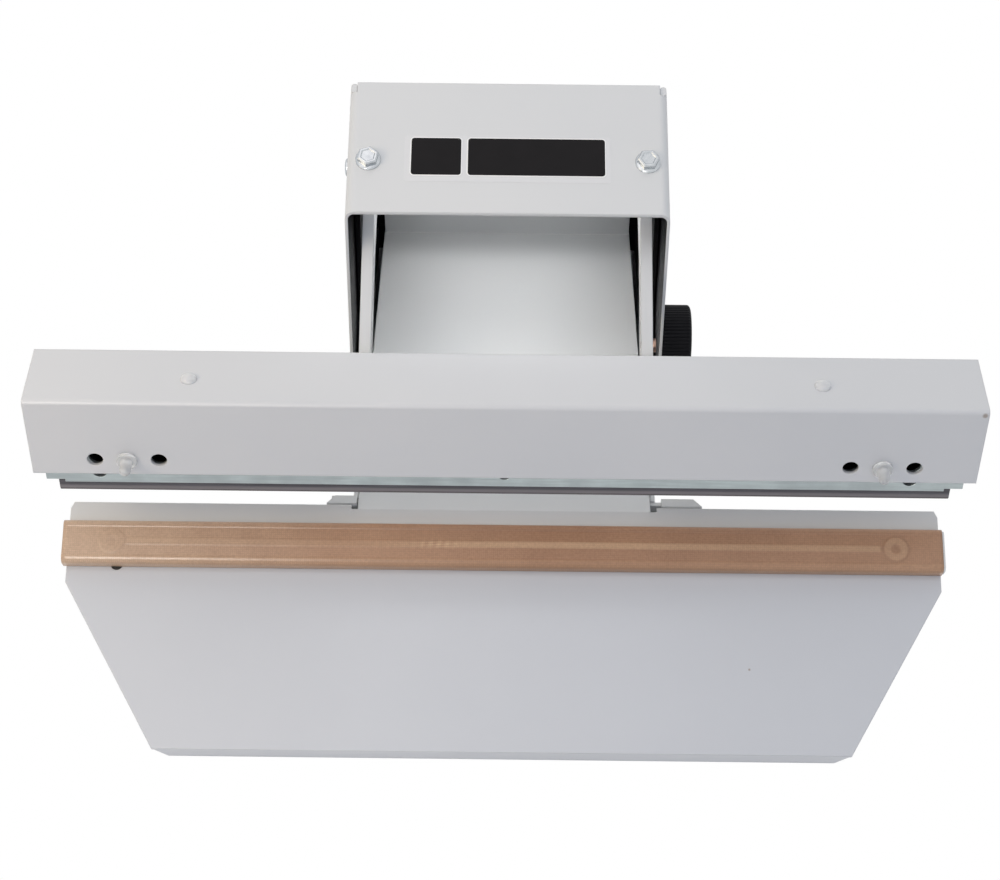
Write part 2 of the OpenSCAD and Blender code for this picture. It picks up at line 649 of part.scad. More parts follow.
bolt_head = 3.4;
flange_t = 1.1;
module hood_bolts() color(zinc) on_hood() for (s = [-1, 1]) translate([s * bolt_span / 2, bolt_back, 0]) {
    cylinder(d = bolt_flange_d, h = flange_t);
    cylinder(d = bolt_flats / cos(30), h = bolt_head, $fn = 6);
    translate([0, 0, -hood_t - chassis_t - 6]) cylinder(d = bolt_d, h = hood_t + chassis_t + 6 + eps);
    translate([0, 0, -hood_t - chassis_t - 5]) cylinder(d = bolt_d + 1.5, h = 5);
}
side_screw_d = 3.8;
module hood_side_screw() color(zinc) {
    rod(-hood_half - 1.1, -hood_half, 3.6, side_screw);
    rod(-hood_half - eps, -chassis_in, side_screw_d / 2, side_screw);
}
module label_plates() color(black) on_hood() translate([-(label_small + label_gap + label_large) / 2, label_back, 0]) {
    cube([label_small, label_h, label_t]);
    translate([label_small + label_gap, 0, 0]) cube([label_large, label_h, label_t]);
}

// Arms: flat plates that carry the upper jaw and turn on the pivot shaft, each folded to a foot on the beam
arm_top_front = jaw_pt([cover_top + 8, 0]) + [0, -5];
arm_top = pivot_z + arm_rise;
arm_dir = [cos(arm_slope), sin(arm_slope)];
arm_nrm = [arm_dir[1], -arm_dir[0]];
arm_crotch = arm_top_front + arm_nrm * arm_w + arm_dir * 1.5;
function arm_outline() = [
    jaw_pt([beam_back + 0.3, 1 - beam_drop]), jaw_pt([beam_back + 0.3, beam_h - beam_drop - 5]),
    jaw_pt([beam_back + 10, beam_h - beam_drop - 3]), arm_top_front,
    [arm_top_front[0] + (arm_top - arm_top_front[1]) / tan(arm_slope), arm_top], spring_pin + [0, arm_end_r * 0.9],
    spring_pin + arm_dir * arm_end_r * 0.6, spring_pin - [0, arm_end_r * 0.9],
    arm_top_front + arm_nrm * arm_w + arm_dir * (arm_top - arm_top_front[1]) * 1.2, arm_crotch,
    pivot + [-13, 21], pivot + [hub_r * 0.4, hub_r * 0.8], pivot + turn([0, -hub_r * 0.8], -40)];
module arm() difference() {
    union() {
        slab(arm_in, arm_out, arm_outline());
        rod(arm_in, arm_out, hub_r, pivot);
        rod(arm_in, arm_out, arm_end_r, spring_pin);
        on_jaw() translate([arm_in - arm_foot, beam_back, -beam_drop])
            cube([arm_foot + arm_t / 2, arm_t, beam_h - 4]);
    }
    rod(0, hood_w, shaft_r + run_gap, pivot);
    rod(0, hood_w, crank_d / 2 + run_gap, crank);
    rod(0, hood_w, spring_pin_d / 2 + run_gap, spring_pin);
    rod(0, hood_w, brass_d / 2 + run_gap, brass_at);
    on_jaw() for (z = foot_zs) translate([foot_x, beam_back - 1, z]) rotate([-90, 0, 0])
        cylinder(d = arm_screw_d + 2 * screw_gap, h = arm_t + 2);
}
module right_arm() color(paint) arm();
module left_arm() color(paint) mirror([1, 0, 0]) arm();
module pivot_shaft() color(steel) rod(-chassis_half, chassis_half, shaft_r, pivot);
module shaft_bushes() color(brass) both_sides() difference() {
    union() {
        rod(chassis_in - eps, chassis_half, bush_r - 0.02, pivot);
        rod(chassis_in - bush_flange, chassis_in, bush_r + 1.2, pivot);
    }
    rod(0, hood_w, shaft_r + run_gap, pivot);
}
module shaft_collars() color(zinc) both_sides() difference() {
    rod(arm_in - side_gap - collar_len, arm_in - side_gap, hub_r, pivot);
    rod(0, hood_w, shaft_r + run_gap, pivot);
}
module arm_bolts() color(brass) {
    rod(arm_out, arm_out + 1.2, 2.7, brass_at);
    rod(arm_in, arm_out + eps, brass_d / 2, brass_at);
}
module spring_pins() color(zinc) both_sides() {
    rod(spring_span / 2 - coil_d / 2, arm_out, spring_pin_d / 2, spring_pin);
    rod(spring_span / 2 - coil_d / 2 - 1.5, spring_span / 2 - coil_d / 2 + eps, spring_pin_d / 2 + 1.2, spring_pin);
}
module spring_rod() color(steel) rod(-chassis_half, chassis_half, spring_rod_d / 2, spring_rod_at);
module stop_bumpers() color(black) both_sides()
    rod(arm_in, chassis_in, bumper_r, spring_pin + [arm_end_r + side_gap + bumper_r, bumper_up]);

// Return springs: each one wire, a loop round the pin, its curls, and a loop round the rod
spring_dir = (spring_rod_at - spring_pin) / norm(spring_rod_at - spring_pin);
spring_nrm = [-spring_dir[1], spring_dir[0]];
spring_all = norm(spring_rod_at - spring_pin);
hook_a = spring_pin_d / 2 + wire_d / 2 + 0.3;
hook_b = spring_rod_d / 2 + wire_d / 2 + 0.3;
coil_start = hook_a + coil_d * 0.9;
coil_end = spring_all - hook_b - coil_d * 0.9;
curl_rings = 8;
hook_rings = 10;
// A point of the spring: along its line, off its line in the side view, and across
function spring_pt(s, n, x) = concat([x], spring_pin + s * spring_dir + n * spring_nrm);
spring_path = concat(
    [for (i = [0:hook_rings]) let (a = -60 - 240 * (1 - i / hook_rings))
        spring_pt(hook_a * sin(a + 180), hook_a * cos(a + 180), 0)],
    [for (i = [0:coil_turns * curl_rings]) let (a = 360 * i / curl_rings, f = i / (coil_turns * curl_rings))
        spring_pt(coil_start + f * (coil_end - coil_start), coil_d / 2 * cos(a), coil_d / 2 * sin(a))],
    [for (i = [0:hook_rings]) let (a = 60 - 240 * i / hook_rings)
        spring_pt(spring_all + hook_b * sin(-a), hook_b * cos(a), 0)]);
module return_springs() color(steel) for (s = [-1, 1]) translate([s * spring_span / 2, 0, 0])
    wire_tube(spring_path, wire_d / 2, 6);
// A closed tube of flat triangles swept along a list of points
function unit(v) = v / norm(v);
function path_dir(p, i) = unit(p[min(i + 1, len(p) - 1)] - p[max(i - 1, 0)]);
function carried(p, i, v) = i >= len(p) ? [] :
    let (d = path_dir(p, i), w = unit(v - (v * d) * d)) concat([w], carried(p, i + 1, w));
module wire_tube(p, r, n) {
    sides = carried(p, 0, [0.3, 1, 0.2]);
    rings = [for (i = [0:len(p) - 1]) let (d = path_dir(p, i), u = sides[i], v = cross(d, u))
        for (k = [0:n - 1]) p[i] + r * (cos(360 * k / n) * u + sin(360 * k / n) * v)];
    last = (len(p) - 1) * n;
    faces = concat(
        [for (i = [0:len(p) - 2], k = [0:n - 1]) [i * n + k, i * n + (k + 1) % n, (i + 1) * n + k]],
        [for (i = [0:len(p) - 2], k = [0:n - 1]) [i * n + (k + 1) % n, (i + 1) * n + (k + 1) % n, (i + 1) * n + k]],
        [for (k = [1:n - 2]) [0, k + 1, k]], [for (k = [1:n - 2]) [last, last + k, last + k + 1]]);
    polyhedron(rings, [for (f = faces) [f[2], f[1], f[0]]]);
}
spring_skip = 6;
spring_self_gap = min([for (i = [0:len(spring_path) - 1 - spring_skip], j = [i + spring_skip:len(spring_path) - 1])
    norm(spring_path[i] - spring_path[j])]) - wire_d;
echo(spring_self_gap = spring_self_gap);

// Upper jaw: beam on the arms, zinc carrier and rubber on the beam, and the painted cover over them
module jaw_beam() color(steel) on_jaw() difference() {
    translate([-beam_len / 2, carrier_back, -beam_drop]) cube([beam_len, beam_w, beam_h]);
    for (s = [-1, 1], z = foot_zs) translate([s * foot_x, beam_back + 1, z]) rotate([90, 0, 0])
        cylinder(d = arm_screw_d + 2 * run_gap, h = arm_screw_reach + 1);
    for (x = back_hole_xs) translate([x, carrier_back - 1, -peg_drop]) rotate([-90, 0, 0])
        cylinder(d = back_hole_d, h = beam_w * 0.8 + 1);
}
// Holes behind those in the cover's front: the outer ones sit a little nearer to the middle
back_hole_d = hole_d + 0.8;
back_hole_xs = [for (s = [-1, 1], d = [-1, 1]) s * (peg_span / 2 + d * hole_side - (d + 1) * 0.4)];
module upper_jaw_cover() color(paint) on_jaw() difference() {
    translate([-cover_len / 2, 0, 0]) rotate([90, 0, 90]) linear_extrude(cover_len) union() {
        translate([0, -cover_front]) square([cover_t, cover_front - cover_r]);
        translate([cover_r, -cover_t]) square([cover_top - cover_r, cover_t]);
        translate([cover_r, -cover_r]) intersection() {
            difference() {
                circle(r = cover_r);
                circle(r = cover_r - cover_t);
            }
            translate([-cover_r, 0]) square(cover_r);
        }
    }
    for (s = [-1, 1]) {
        translate([s * dome_span / 2, dome_back, -cover_t - 1]) cylinder(d = dome_d - 2, h = cover_t + 2);
        for (d = [-1, 1]) translate([s * peg_span / 2 + d * hole_side, -1, -peg_drop]) rotate([-90, 0, 0])
            cylinder(d = hole_d, h = cover_t + 2);
        translate([s * peg_span / 2, -1, -peg_drop]) rotate([-90, 0, 0])
            cylinder(d = peg_d - 1, h = cover_t + 2);
    }
}
carrier_hole_d = 5.6;
module rubber_carrier() color(zinc) on_jaw() difference() {
    union() {
        translate([-carrier_len / 2, cover_t, -cover_front - carrier_drop]) cube([carrier_len, carrier_t, carrier_h]);
        translate([-carrier_lip_len / 2, cover_t, -cover_front - carrier_drop - carrier_lip])
            cube([carrier_lip_len, carrier_t, carrier_lip + eps]);
    }
    for (x = [-1, 0, 1]) translate([x * (peg_span / 2 + hole_side - 0.6), 0, -cover_front - 0.9 * abs(x) + 0.6])
        rotate([-90, 0, 0]) cylinder(d = carrier_hole_d, h = 3 * carrier_t);
    for (x = back_hole_xs) translate([x, 0, -peg_drop]) rotate([-90, 0, 0])
        cylinder(d = back_hole_d, h = 3 * carrier_t);
}
module sealing_rubber() color("#5c5a5e") on_jaw() slab(-rubber_len / 2, rubber_len / 2, [
    rubber_front, rubber_rear, [rubber_rear[0], -beam_drop], [rubber_front[0], -beam_drop]]);
module cover_domes() color("#d8dcdc") on_jaw() for (s = [-1, 1]) translate([s * dome_span / 2, dome_back, 0]) {
    rotate_extrude() intersection() {
        translate([0, dome_h - (dome_d * dome_d / 4 + dome_h * dome_h) / (2 * dome_h)])
            circle(r = (dome_d * dome_d / 4 + dome_h * dome_h) / (2 * dome_h));
        square([dome_d, dome_d]);
    }
    translate([0, 0, -cover_t - 2]) cylinder(d = dome_d - 2 - 2 * run_gap, h = cover_t + 2 + eps);
}
peg_flange_t = 1.5;
module jaw_pegs() color("#dfe6e6") on_jaw() for (s = [-1, 1]) translate([s * peg_span / 2, 0, -peg_drop])
    rotate([90, 0, 0]) {
        translate([0, 0, -cover_t]) cylinder(d = peg_d - 1 - 2 * run_gap, h = cover_t + eps);
        cylinder(d = peg_flange_d, h = peg_flange_t);
        cylinder(d = peg_d, h = peg_len);
    }
module arm_screws() color(zinc) on_jaw() for (s = [-1, 1], z = foot_zs)
    translate([s * foot_x, beam_back + arm_t, z]) rotate([90, 0, 0]) {
        cylinder(d = arm_screw_d, h = arm_t + arm_screw_reach - 1);
        translate([0, 0, -3]) cylinder(d = 1.7 * arm_screw_d, h = 3 + eps);
    }

// Crank rod and pull link: a foot pedal's chain or rod pulls the lower eye down and so closes the jaw
link_r = crank_d / 2 + 4;
link_half = 4;
module crank_rod() color(steel) rod(-arm_out, arm_out, crank_d / 2, crank);
module pull_link() color(zinc) difference() {
    union() {
        rod(-link_half, link_half, link_r, crank);
        translate([0, crank[0], pull_low_z]) cylinder(d = 2.4 * pull_bore, h = pull_deep + 4);
        translate([0, crank[0], pull_low_z + pull_deep + 2]) cylinder(d = crank_d, h = crank[1] - pull_low_z - pull_deep - 2);
    }
    rod(-arm_out, arm_out, crank_d / 2 + run_gap, crank);
    translate([0, crank[0], pull_low_z - 1]) cylinder(d = pull_bore, h = pull_deep + 1);
}

// Switch: a cam on the shaft pushes the plunger in as the jaw closes and starts the heat
cam_x0 = -36;
cam_w = 10;
cam_half = 3.5;
plunger_r = 1.2;
plunger_up = 10;
plunger_gap = 0.35;
plunger_stroke = 5.4;
switch_at = [pivot_y - cam_half - 6, pivot_z + plunger_up];
switch_len = 13;
module switch_cam() color(steel) difference() {
    union() {
        rod(cam_x0, cam_x0 + cam_w, hub_r, pivot);
        slab(cam_x0, cam_x0 + cam_w, [pivot + [-cam_half, 0], pivot + [cam_half, 0],
            pivot + [cam_half, plunger_up + 1.8], pivot + [-cam_half, plunger_up + 1.8]]);
    }
    rod(-arm_out, arm_out, shaft_r + run_gap, pivot);
}
module microswitch() color(black) difference() {
    slab(cam_x0, cam_x0 + cam_w, [switch_at + [-switch_len, -5], switch_at + [0, -5], switch_at + [0, 5],
        switch_at + [-switch_len, 5]]);
    translate([cam_x0 + cam_w / 2, switch_at[0] + 1, switch_at[1]]) rotate([90, 0, 0])
        cylinder(r = plunger_r + run_gap, h = switch_len - 0.5);
}
module switch_plunger() color("#c8352c") translate([cam_x0 + cam_w / 2, pivot_y - cam_half - plunger_gap, switch_at[1]])
    rotate([90, 0, 0]) cylinder(r = plunger_r, h = switch_len - 2);
bracket_t = 1.5;
function on_tongue(y, up) = [y, tongue_top(y) + up];
module switch_bracket() color(zinc) {
    slab(cam_x0 - bracket_t, cam_x0, [on_tongue(switch_at[0] - switch_len - 0.5, 0), on_tongue(switch_at[0], 0),
        switch_at + [0, 6], switch_at + [-switch_len - 0.5, 6]]);
    slab(cam_x0 - 12, cam_x0 - bracket_t + eps, [on_tongue(switch_at[0] - switch_len - 0.5, 0), on_tongue(switch_at[0], 0),
        on_tongue(switch_at[0], bracket_t), on_tongue(switch_at[0] - switch_len - 0.5, bracket_t)]);
}

// Timer: knob on a potentiometer whose neck holds the hood to the chassis, with the board behind it
pot_back = chassis_in - pot_len;
neck_end = hood_half + pot_nut + 0.5;
knob_at = neck_end + 1.5;
module timer_knob() color(black) translate([knob_at, knob_y, knob_z]) rotate([0, 90, 0]) difference() {
    linear_extrude(knob_len) polygon([for (i = [0:2 * knob_ridges - 1])
        let (r = knob_d / 2 - (i % 2) * ridge_h, a = 180 * i / knob_ridges) [r * cos(a), r * sin(a)]]);
    translate([0, 0, -1]) cylinder(d = pot_shaft_d + 2 * run_gap, h = knob_len * 0.75 + 1);
}
module potentiometer() color(steel) difference() {
    union() {
        rod(pot_back, chassis_in, pot_d / 2, [knob_y, knob_z]);
        rod(chassis_in - eps, neck_end, pot_neck_d / 2, [knob_y, knob_z]);
        translate([hood_half, knob_y, knob_z]) rotate([0, 90, 0])
            cylinder(d = pot_neck_d * 1.5, h = pot_nut, $fn = 6);
    }
    rod(pot_back + 2, hood_w, pot_shaft_d / 2 + run_gap, [knob_y, knob_z]);
}
module knob_shaft() color(zinc) rod(pot_back + 2.4, knob_at + knob_len * 0.7, pot_shaft_d / 2, [knob_y, knob_z]);
board_y0 = knob_y - 0.56 * board_len;
board_y1 = board_y0 + board_len;
board_z1 = knob_z + 1;
board_z0 = board_z1 - board_h;
module timer_board() color("#2f6b3c") {
    translate([pot_back - board_t, board_y0, board_z0]) cube([board_t, board_y1 - board_y0, board_z1 - board_z0]);
    translate([pot_back - board_t - board_part, board_y0 + board_len * 0.09, board_z0 + board_h * 0.09])
        cube([board_part + eps, board_len * 0.24, board_h * 0.25]);
    translate([pot_back - board_t - board_part * 0.75, board_y0 + board_len * 0.6, board_z0 + board_h * 0.12])
        cube([board_part * 0.75 + eps, board_len * 0.26, board_h * 0.45]);
    translate([pot_back - board_t + eps, board_y0 + board_len * 0.18, board_z0 + board_h * 0.65]) rotate([0, -90, 0])
        cylinder(d = board_len * 0.13, h = board_part);
}

// Transformer: laminated core on the chassis floor with its coil round the middle leg
core_x = -8;
core_y = 37;
core_wide = core_w - 4 * core_leg;
coil_gap = 0.3;
module transformer_core() color("#56585b") translate([core_x, core_y, chassis_t]) difference() {
    translate([-core_w / 2, -core_d / 2, 0]) cube([core_w, core_d, core_h]);
    for (s = [-1, 1]) translate([s * (core_leg + core_wide / 4) - core_wide / 4, -core_d, core_leg])
        cube([core_wide / 2, 2 * core_d, core_h - 2 * core_leg]);
}
module transformer_coil() color("#c9a35e") translate([core_x, core_y, chassis_t + core_leg + coil_gap]) difference() {
    translate([-core_leg - core_wide / 2 + coil_gap, -core_d / 2 - coil_over, 0])
        cube([2 * core_leg + core_wide - 2 * coil_gap, core_d + 2 * coil_over, core_h - 2 * core_leg - 2 * coil_gap]);
    translate([-core_leg - coil_gap, -core_d / 2 - coil_gap, -1])
        cube([2 * (core_leg + coil_gap), core_d + 2 * coil_gap, core_h]);
}

// Back wall: mains inlet, fuse holder and rocker switch
module rear_plate(x, w, h, d) translate([x - w / 2, chassis_back, rear_z - h / 2]) cube([w, d, h]);
socket_d = 16;
pin_gap = 7;
module mains_inlet() color(black) {
    difference() {
        union() {
            rear_plate(inlet_x, inlet_w + 5, inlet_h + 5, 2.5);
            translate([inlet_x - inlet_w / 2 + run_gap, chassis_back - 20, rear_z - inlet_h / 2 + run_gap])
                cube([inlet_w - 2 * run_gap, 21, inlet_h - 2 * run_gap]);
        }
        translate([inlet_x - inlet_w / 2 + 1.8, chassis_back + 2.5 - socket_d, rear_z - inlet_h / 2 + 1.8])
            cube([inlet_w - 3.6, socket_d + 1, inlet_h - 3.6]);
    }
    for (i = [-1:1]) translate([inlet_x + i * pin_gap - 1, chassis_back + 2.4 - socket_d, rear_z - 2 + (i == 0 ? 3 : -1)])
        cube([2, socket_d - 4, 4]);
}
module fuse_holder() color(black) translate([fuse_x, chassis_back, rear_z]) rotate([-90, 0, 0]) {
    translate([0, 0, -24]) cylinder(d = fuse_d, h = 24 + eps);
    cylinder(d = fuse_d + 4, h = 2.5);
    translate([0, 0, 2.4]) cylinder(d = fuse_d, h = 3.6);
}
rocker_at = [chassis_back - 3, rear_z];
rocker_r = 7;
module switch_frame() color(black) difference() {
    union() {
        rear_plate(switch_x, frame_w + 4, frame_h + 4, 2);
        translate([switch_x - frame_w / 2 + run_gap, chassis_back - 18, rear_z - frame_h / 2 + run_gap])
            cube([frame_w - 2 * run_gap, 19, frame_h - 2 * run_gap]);
    }
    translate([switch_x - rocker_w / 2 - side_gap, rocker_at[0] - 12, rear_z - rocker_h / 2 - side_gap])
        cube([rocker_w + 2 * side_gap, 30, rocker_h + 2 * side_gap]);
    rod(switch_x - frame_w / 2 - 1, switch_x + frame_w / 2 + 1, 1 + run_gap, rocker_at);
}
// The rocker leans at rest, with its upper half out, and tips over to its other side
module rocker_switch() color(black) {
    translate([0, rocker_at[0], rocker_at[1]]) rotate([rocker_deg / 2, 0, 0]) slab(
        switch_x - rocker_w / 2, switch_x + rocker_w / 2, [[-5, -4], [4, -rocker_h / 2 + 0.6], [6.5, -rocker_h / 2 + 1.2],
        [5.2, 0], [6.5, rocker_h / 2 - 1.2], [4, rocker_h / 2 - 0.6], [-5, 4]]);
    rod(switch_x - frame_w / 2 + 0.2, switch_x + frame_w / 2 - 0.2, 1, rocker_at);
}

chassis();
deck_plate();
jaw_support();
work_table();
table_plug();
jaw_bar();
band_insulation();
heating_band();
band_studs();
stud_washers();
ptfe_cloth();
jaw_screws();
hood();
hood_bolts();
hood_side_screw();
label_plates();
left_arm();
right_arm();
pivot_shaft();
shaft_bushes();
shaft_collars();
arm_bolts();
spring_pins();
return_springs();
spring_rod();
stop_bumpers();
jaw_beam();
upper_jaw_cover();
rubber_carrier();
sealing_rubber();
cover_domes();
jaw_pegs();
arm_screws();
crank_rod();
pull_link();
switch_cam();
switch_bracket();
microswitch();
switch_plunger();
timer_knob();
potentiometer();
knob_shaft();
timer_board();
transformer_core();
transformer_coil();
mains_inlet();
fuse_holder();
switch_frame();
rocker_switch();
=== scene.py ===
import math

import bmesh
import bpy
from mathutils import Matrix, Vector


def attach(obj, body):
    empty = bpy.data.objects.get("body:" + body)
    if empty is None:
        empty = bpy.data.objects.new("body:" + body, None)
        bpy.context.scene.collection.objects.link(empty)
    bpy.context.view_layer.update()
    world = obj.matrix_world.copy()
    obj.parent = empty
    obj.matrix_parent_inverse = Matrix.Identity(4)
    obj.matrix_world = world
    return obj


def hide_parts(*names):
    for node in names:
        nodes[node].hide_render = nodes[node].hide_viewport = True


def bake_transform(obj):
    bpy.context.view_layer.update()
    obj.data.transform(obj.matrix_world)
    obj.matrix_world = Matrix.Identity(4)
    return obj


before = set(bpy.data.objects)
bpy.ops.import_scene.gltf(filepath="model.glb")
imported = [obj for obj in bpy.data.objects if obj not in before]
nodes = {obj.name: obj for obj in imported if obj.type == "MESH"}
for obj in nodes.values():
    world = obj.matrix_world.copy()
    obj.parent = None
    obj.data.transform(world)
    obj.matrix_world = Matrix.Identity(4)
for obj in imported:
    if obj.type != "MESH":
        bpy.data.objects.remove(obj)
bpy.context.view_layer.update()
mm = 0.001


# Chassis, deck, jaw support, table, hood and cover, folded from steel sheet of 1.2 to 3 mm, and the arms, cut
# from 4.5 mm plate. All are stove-enamelled in one light grey; the table's copy is darker and bluer and the
# cover's a little darker, as painted shade, and the hood's is lighter, as painted light. The enamel is
# sprayed, so it lies uneven, pulls thin and pale over the bends and cut edges, where the pale is also a
# painted highlight, and has picked up a few specks in use. Inside the hood and on the chassis's lugs it is
# dark as painted shade.
def linear(code):
    """An sRGB hex colour as linear RGBA."""
    channels = [int(code[i:i + 2], 16) / 255 for i in (1, 3, 5)]
    return [c / 12.92 if c <= 0.04045 else ((c + 0.055) / 1.055) ** 2.4 for c in channels] + [1.0]


def put(tree, kind, inputs=None, **settings):
    """Adds one shader node with its settings, and sets or links its inputs."""
    made = tree.nodes.new("ShaderNode" + kind)
    for key, value in settings.items():
        setattr(made, key, value)
    for key, value in (inputs or {}).items():
        if isinstance(value, bpy.types.NodeSocket):
            tree.links.new(value, made.inputs[key])
        else:
            made.inputs[key].default_value = value
    return made


def start_material(name):
    """A new material's node tree and the place on the object, in metres."""
    made = bpy.data.materials.new(name)
    made.use_nodes = True
    made.node_tree.nodes.clear()
    return made, made.node_tree, put(made.node_tree, "TexCoord").outputs["Object"]


def close_material(tree, shader):
    """Gives a material its surface."""
    put(tree, "OutputMaterial", {"Surface": shader.outputs[0]})


def inward(middle, below):
    """Picks the faces below a height that look towards a point, such as the inside of a folded sheet."""
    def pick(tree, place, normal):
        parts = put(tree, "SeparateXYZ", {0: place})
        low = put(tree, "Math", {0: parts.outputs["Z"], 1: below}, operation="LESS_THAN")
        off = put(tree, "VectorMath", {0: place, 1: middle}, operation="SUBTRACT")
        facing = put(tree, "VectorMath", {0: off.outputs[0], 1: normal}, operation="DOT_PRODUCT")
        inside = put(tree, "Math", {0: facing.outputs["Value"], 1: 0.0}, operation="LESS_THAN")
        return put(tree, "Math", {0: inside.outputs[0], 1: low.outputs[0]}, operation="MULTIPLY").outputs[0]
    return pick


def over(height):
    """Picks what lies above a height."""
    def pick(tree, place, normal):
        parts = put(tree, "SeparateXYZ", {0: place})
        return put(tree, "Math", {0: parts.outputs["Z"], 1: height}, operation="GREATER_THAN").outputs[0]
    return pick


def stoved_enamel(name, greys=("#d5d6d6", "#ced0d1"), shade_pick=None, marks=()):
    """Sprayed and baked enamel: semi-gloss over a fine orange peel, paler on the edges, partly as thin paint
    and partly as a painted highlight. What the pick chooses is painted shade, dull and near black, and each
    mark is a small
    rubbed spot: place and size."""
    peel, cloud, speck_cell, speck_size, edge = 2.2 * mm, 70 * mm, 26 * mm, 0.35 * mm, 0.7 * mm
    made, tree, place = start_material(name)
    clouds = put(tree, "TexNoise", {"Vector": place, "Scale": 1 / cloud, "Detail": 3.0})
    grey = put(tree, "Mix", {0: clouds.outputs["Fac"], 6: linear(greys[0]), 7: linear(greys[1])},
               data_type="RGBA")
    cells = put(tree, "TexVoronoi", {"Vector": place, "Scale": 1 / speck_cell})
    near = put(tree, "Math", {0: cells.outputs["Distance"], 1: speck_size / speck_cell},
               operation="LESS_THAN")
    specked = put(tree, "Mix", {0: near.outputs[0], 6: grey.outputs[2], 7: linear("#9c9a94")},
                  data_type="RGBA")
    rounded = put(tree, "Bevel", {"Radius": edge}, samples=6)
    flat = put(tree, "NewGeometry")
    match = put(tree, "VectorMath", {0: rounded.outputs[0], 1: flat.outputs["Normal"]},
                operation="DOT_PRODUCT")
    # Painted highlight, partly thin paint: paler where the rounded normal turns from the flat one, on edges
    # and bends.
    pale_edge_and_highlight = put(tree, "MapRange", {"Value": match.outputs["Value"], "From Min": 0.99, "From Max": 0.8,
                                  "To Max": 0.5})
    colour = put(tree, "Mix", {0: pale_edge_and_highlight.outputs[0], 6: specked.outputs[2], 7: linear("#e9eae8")},
                 data_type="RGBA")
    for spot, size in marks:
        away = put(tree, "VectorMath", {0: place, 1: spot}, operation="DISTANCE")
        worn = put(tree, "MapRange", {"Value": away.outputs["Value"], "From Min": size,
                                      "From Max": size / 2, "To Max": 0.7})
        colour = put(tree, "Mix", {0: worn.outputs[0], 6: colour.outputs[2], 7: linear("#8a7868")},
                     data_type="RGBA")
    shine, shade_shine = 0.5, 0.1
    # Painted shade: the picked faces go near black and lose most of their shine.
    if shade_pick:
        painted_shade = shade_pick(tree, place, flat.outputs["Normal"])
        colour = put(tree, "Mix", {0: painted_shade, 6: colour.outputs[2], 7: linear("#151416")}, data_type="RGBA")
        shine = put(tree, "MapRange", {"Value": painted_shade, "To Min": shine, "To Max": shade_shine}).outputs[0]
    grain = put(tree, "TexNoise", {"Vector": place, "Scale": 1 / peel, "Detail": 2.0})
    gloss = put(tree, "MapRange", {"Value": clouds.outputs["Fac"], "To Min": 0.36, "To Max": 0.46})
    bump = put(tree, "Bump", {"Height": grain.outputs["Fac"], "Strength": 0.12, "Distance": 0.05 * mm,
                             "Normal": rounded.outputs[0]})
    close_material(tree, put(tree, "BsdfPrincipled", {
        "Base Color": colour.outputs[2], "Roughness": gloss.outputs[0], "IOR": 1.5,
        "Specular IOR Level": shine, "Normal": bump.outputs[0]}))
    return made


def dress(name, material, edge=None):
    """Gives a CAD node its material and, where edge is set, a small round on its sharp edges."""
    piece = nodes[name]
    piece.data.materials.clear()
    piece.data.materials.append(material)
    if edge:
        weld = piece.modifiers.new("joined_faces", "WELD")
        weld.merge_threshold = 0.002 * mm
        rounds = piece.modifiers.new("rounded_edges", "BEVEL")
        rounds.width, rounds.segments, rounds.limit_method = edge, 2, "ANGLE"
        rounds.angle_limit = math.radians(40)
        rounds.harden_normals = True


enamel = stoved_enamel("stoved_enamel_light_grey")
for sheet_piece in ("deck_plate", "jaw_support", "left_arm", "right_arm"):
    dress(sheet_piece, enamel)
table_mark = (Vector((97.4, -139.5, 33.4)) * mm, 0.6 * mm)
cover_mark = (Vector((179.3, -114.2, 141)) * mm, 1.3 * mm)
# Painted shade: the table's greys are darker and bluer than the light grey, and the cover's a little darker.
dress("work_table", stoved_enamel("stoved_enamel_table", ("#c8cbd0", "#c1c4ca"), marks=[table_mark]))
dress("upper_jaw_cover", stoved_enamel("stoved_enamel_cover", ("#d2d3d5", "#cbcdd0"), marks=[cover_mark]))
# The hood's greys are made lighter, as painted light. Its inside faces and the chassis's lugs under it are
# dark and dull, as painted shade.
hood_middle, shaded_below, lugs_from = Vector((0, 10, 120)) * mm, 198 * mm, 80 * mm
hood_enamel = stoved_enamel("stoved_enamel_hood", ("#d9dada", "#d2d4d5"),
                            shade_pick=inward(hood_middle, shaded_below))
dress("hood", hood_enamel)
dress("chassis", stoved_enamel("stoved_enamel_chassis", shade_pick=over(lugs_from)))


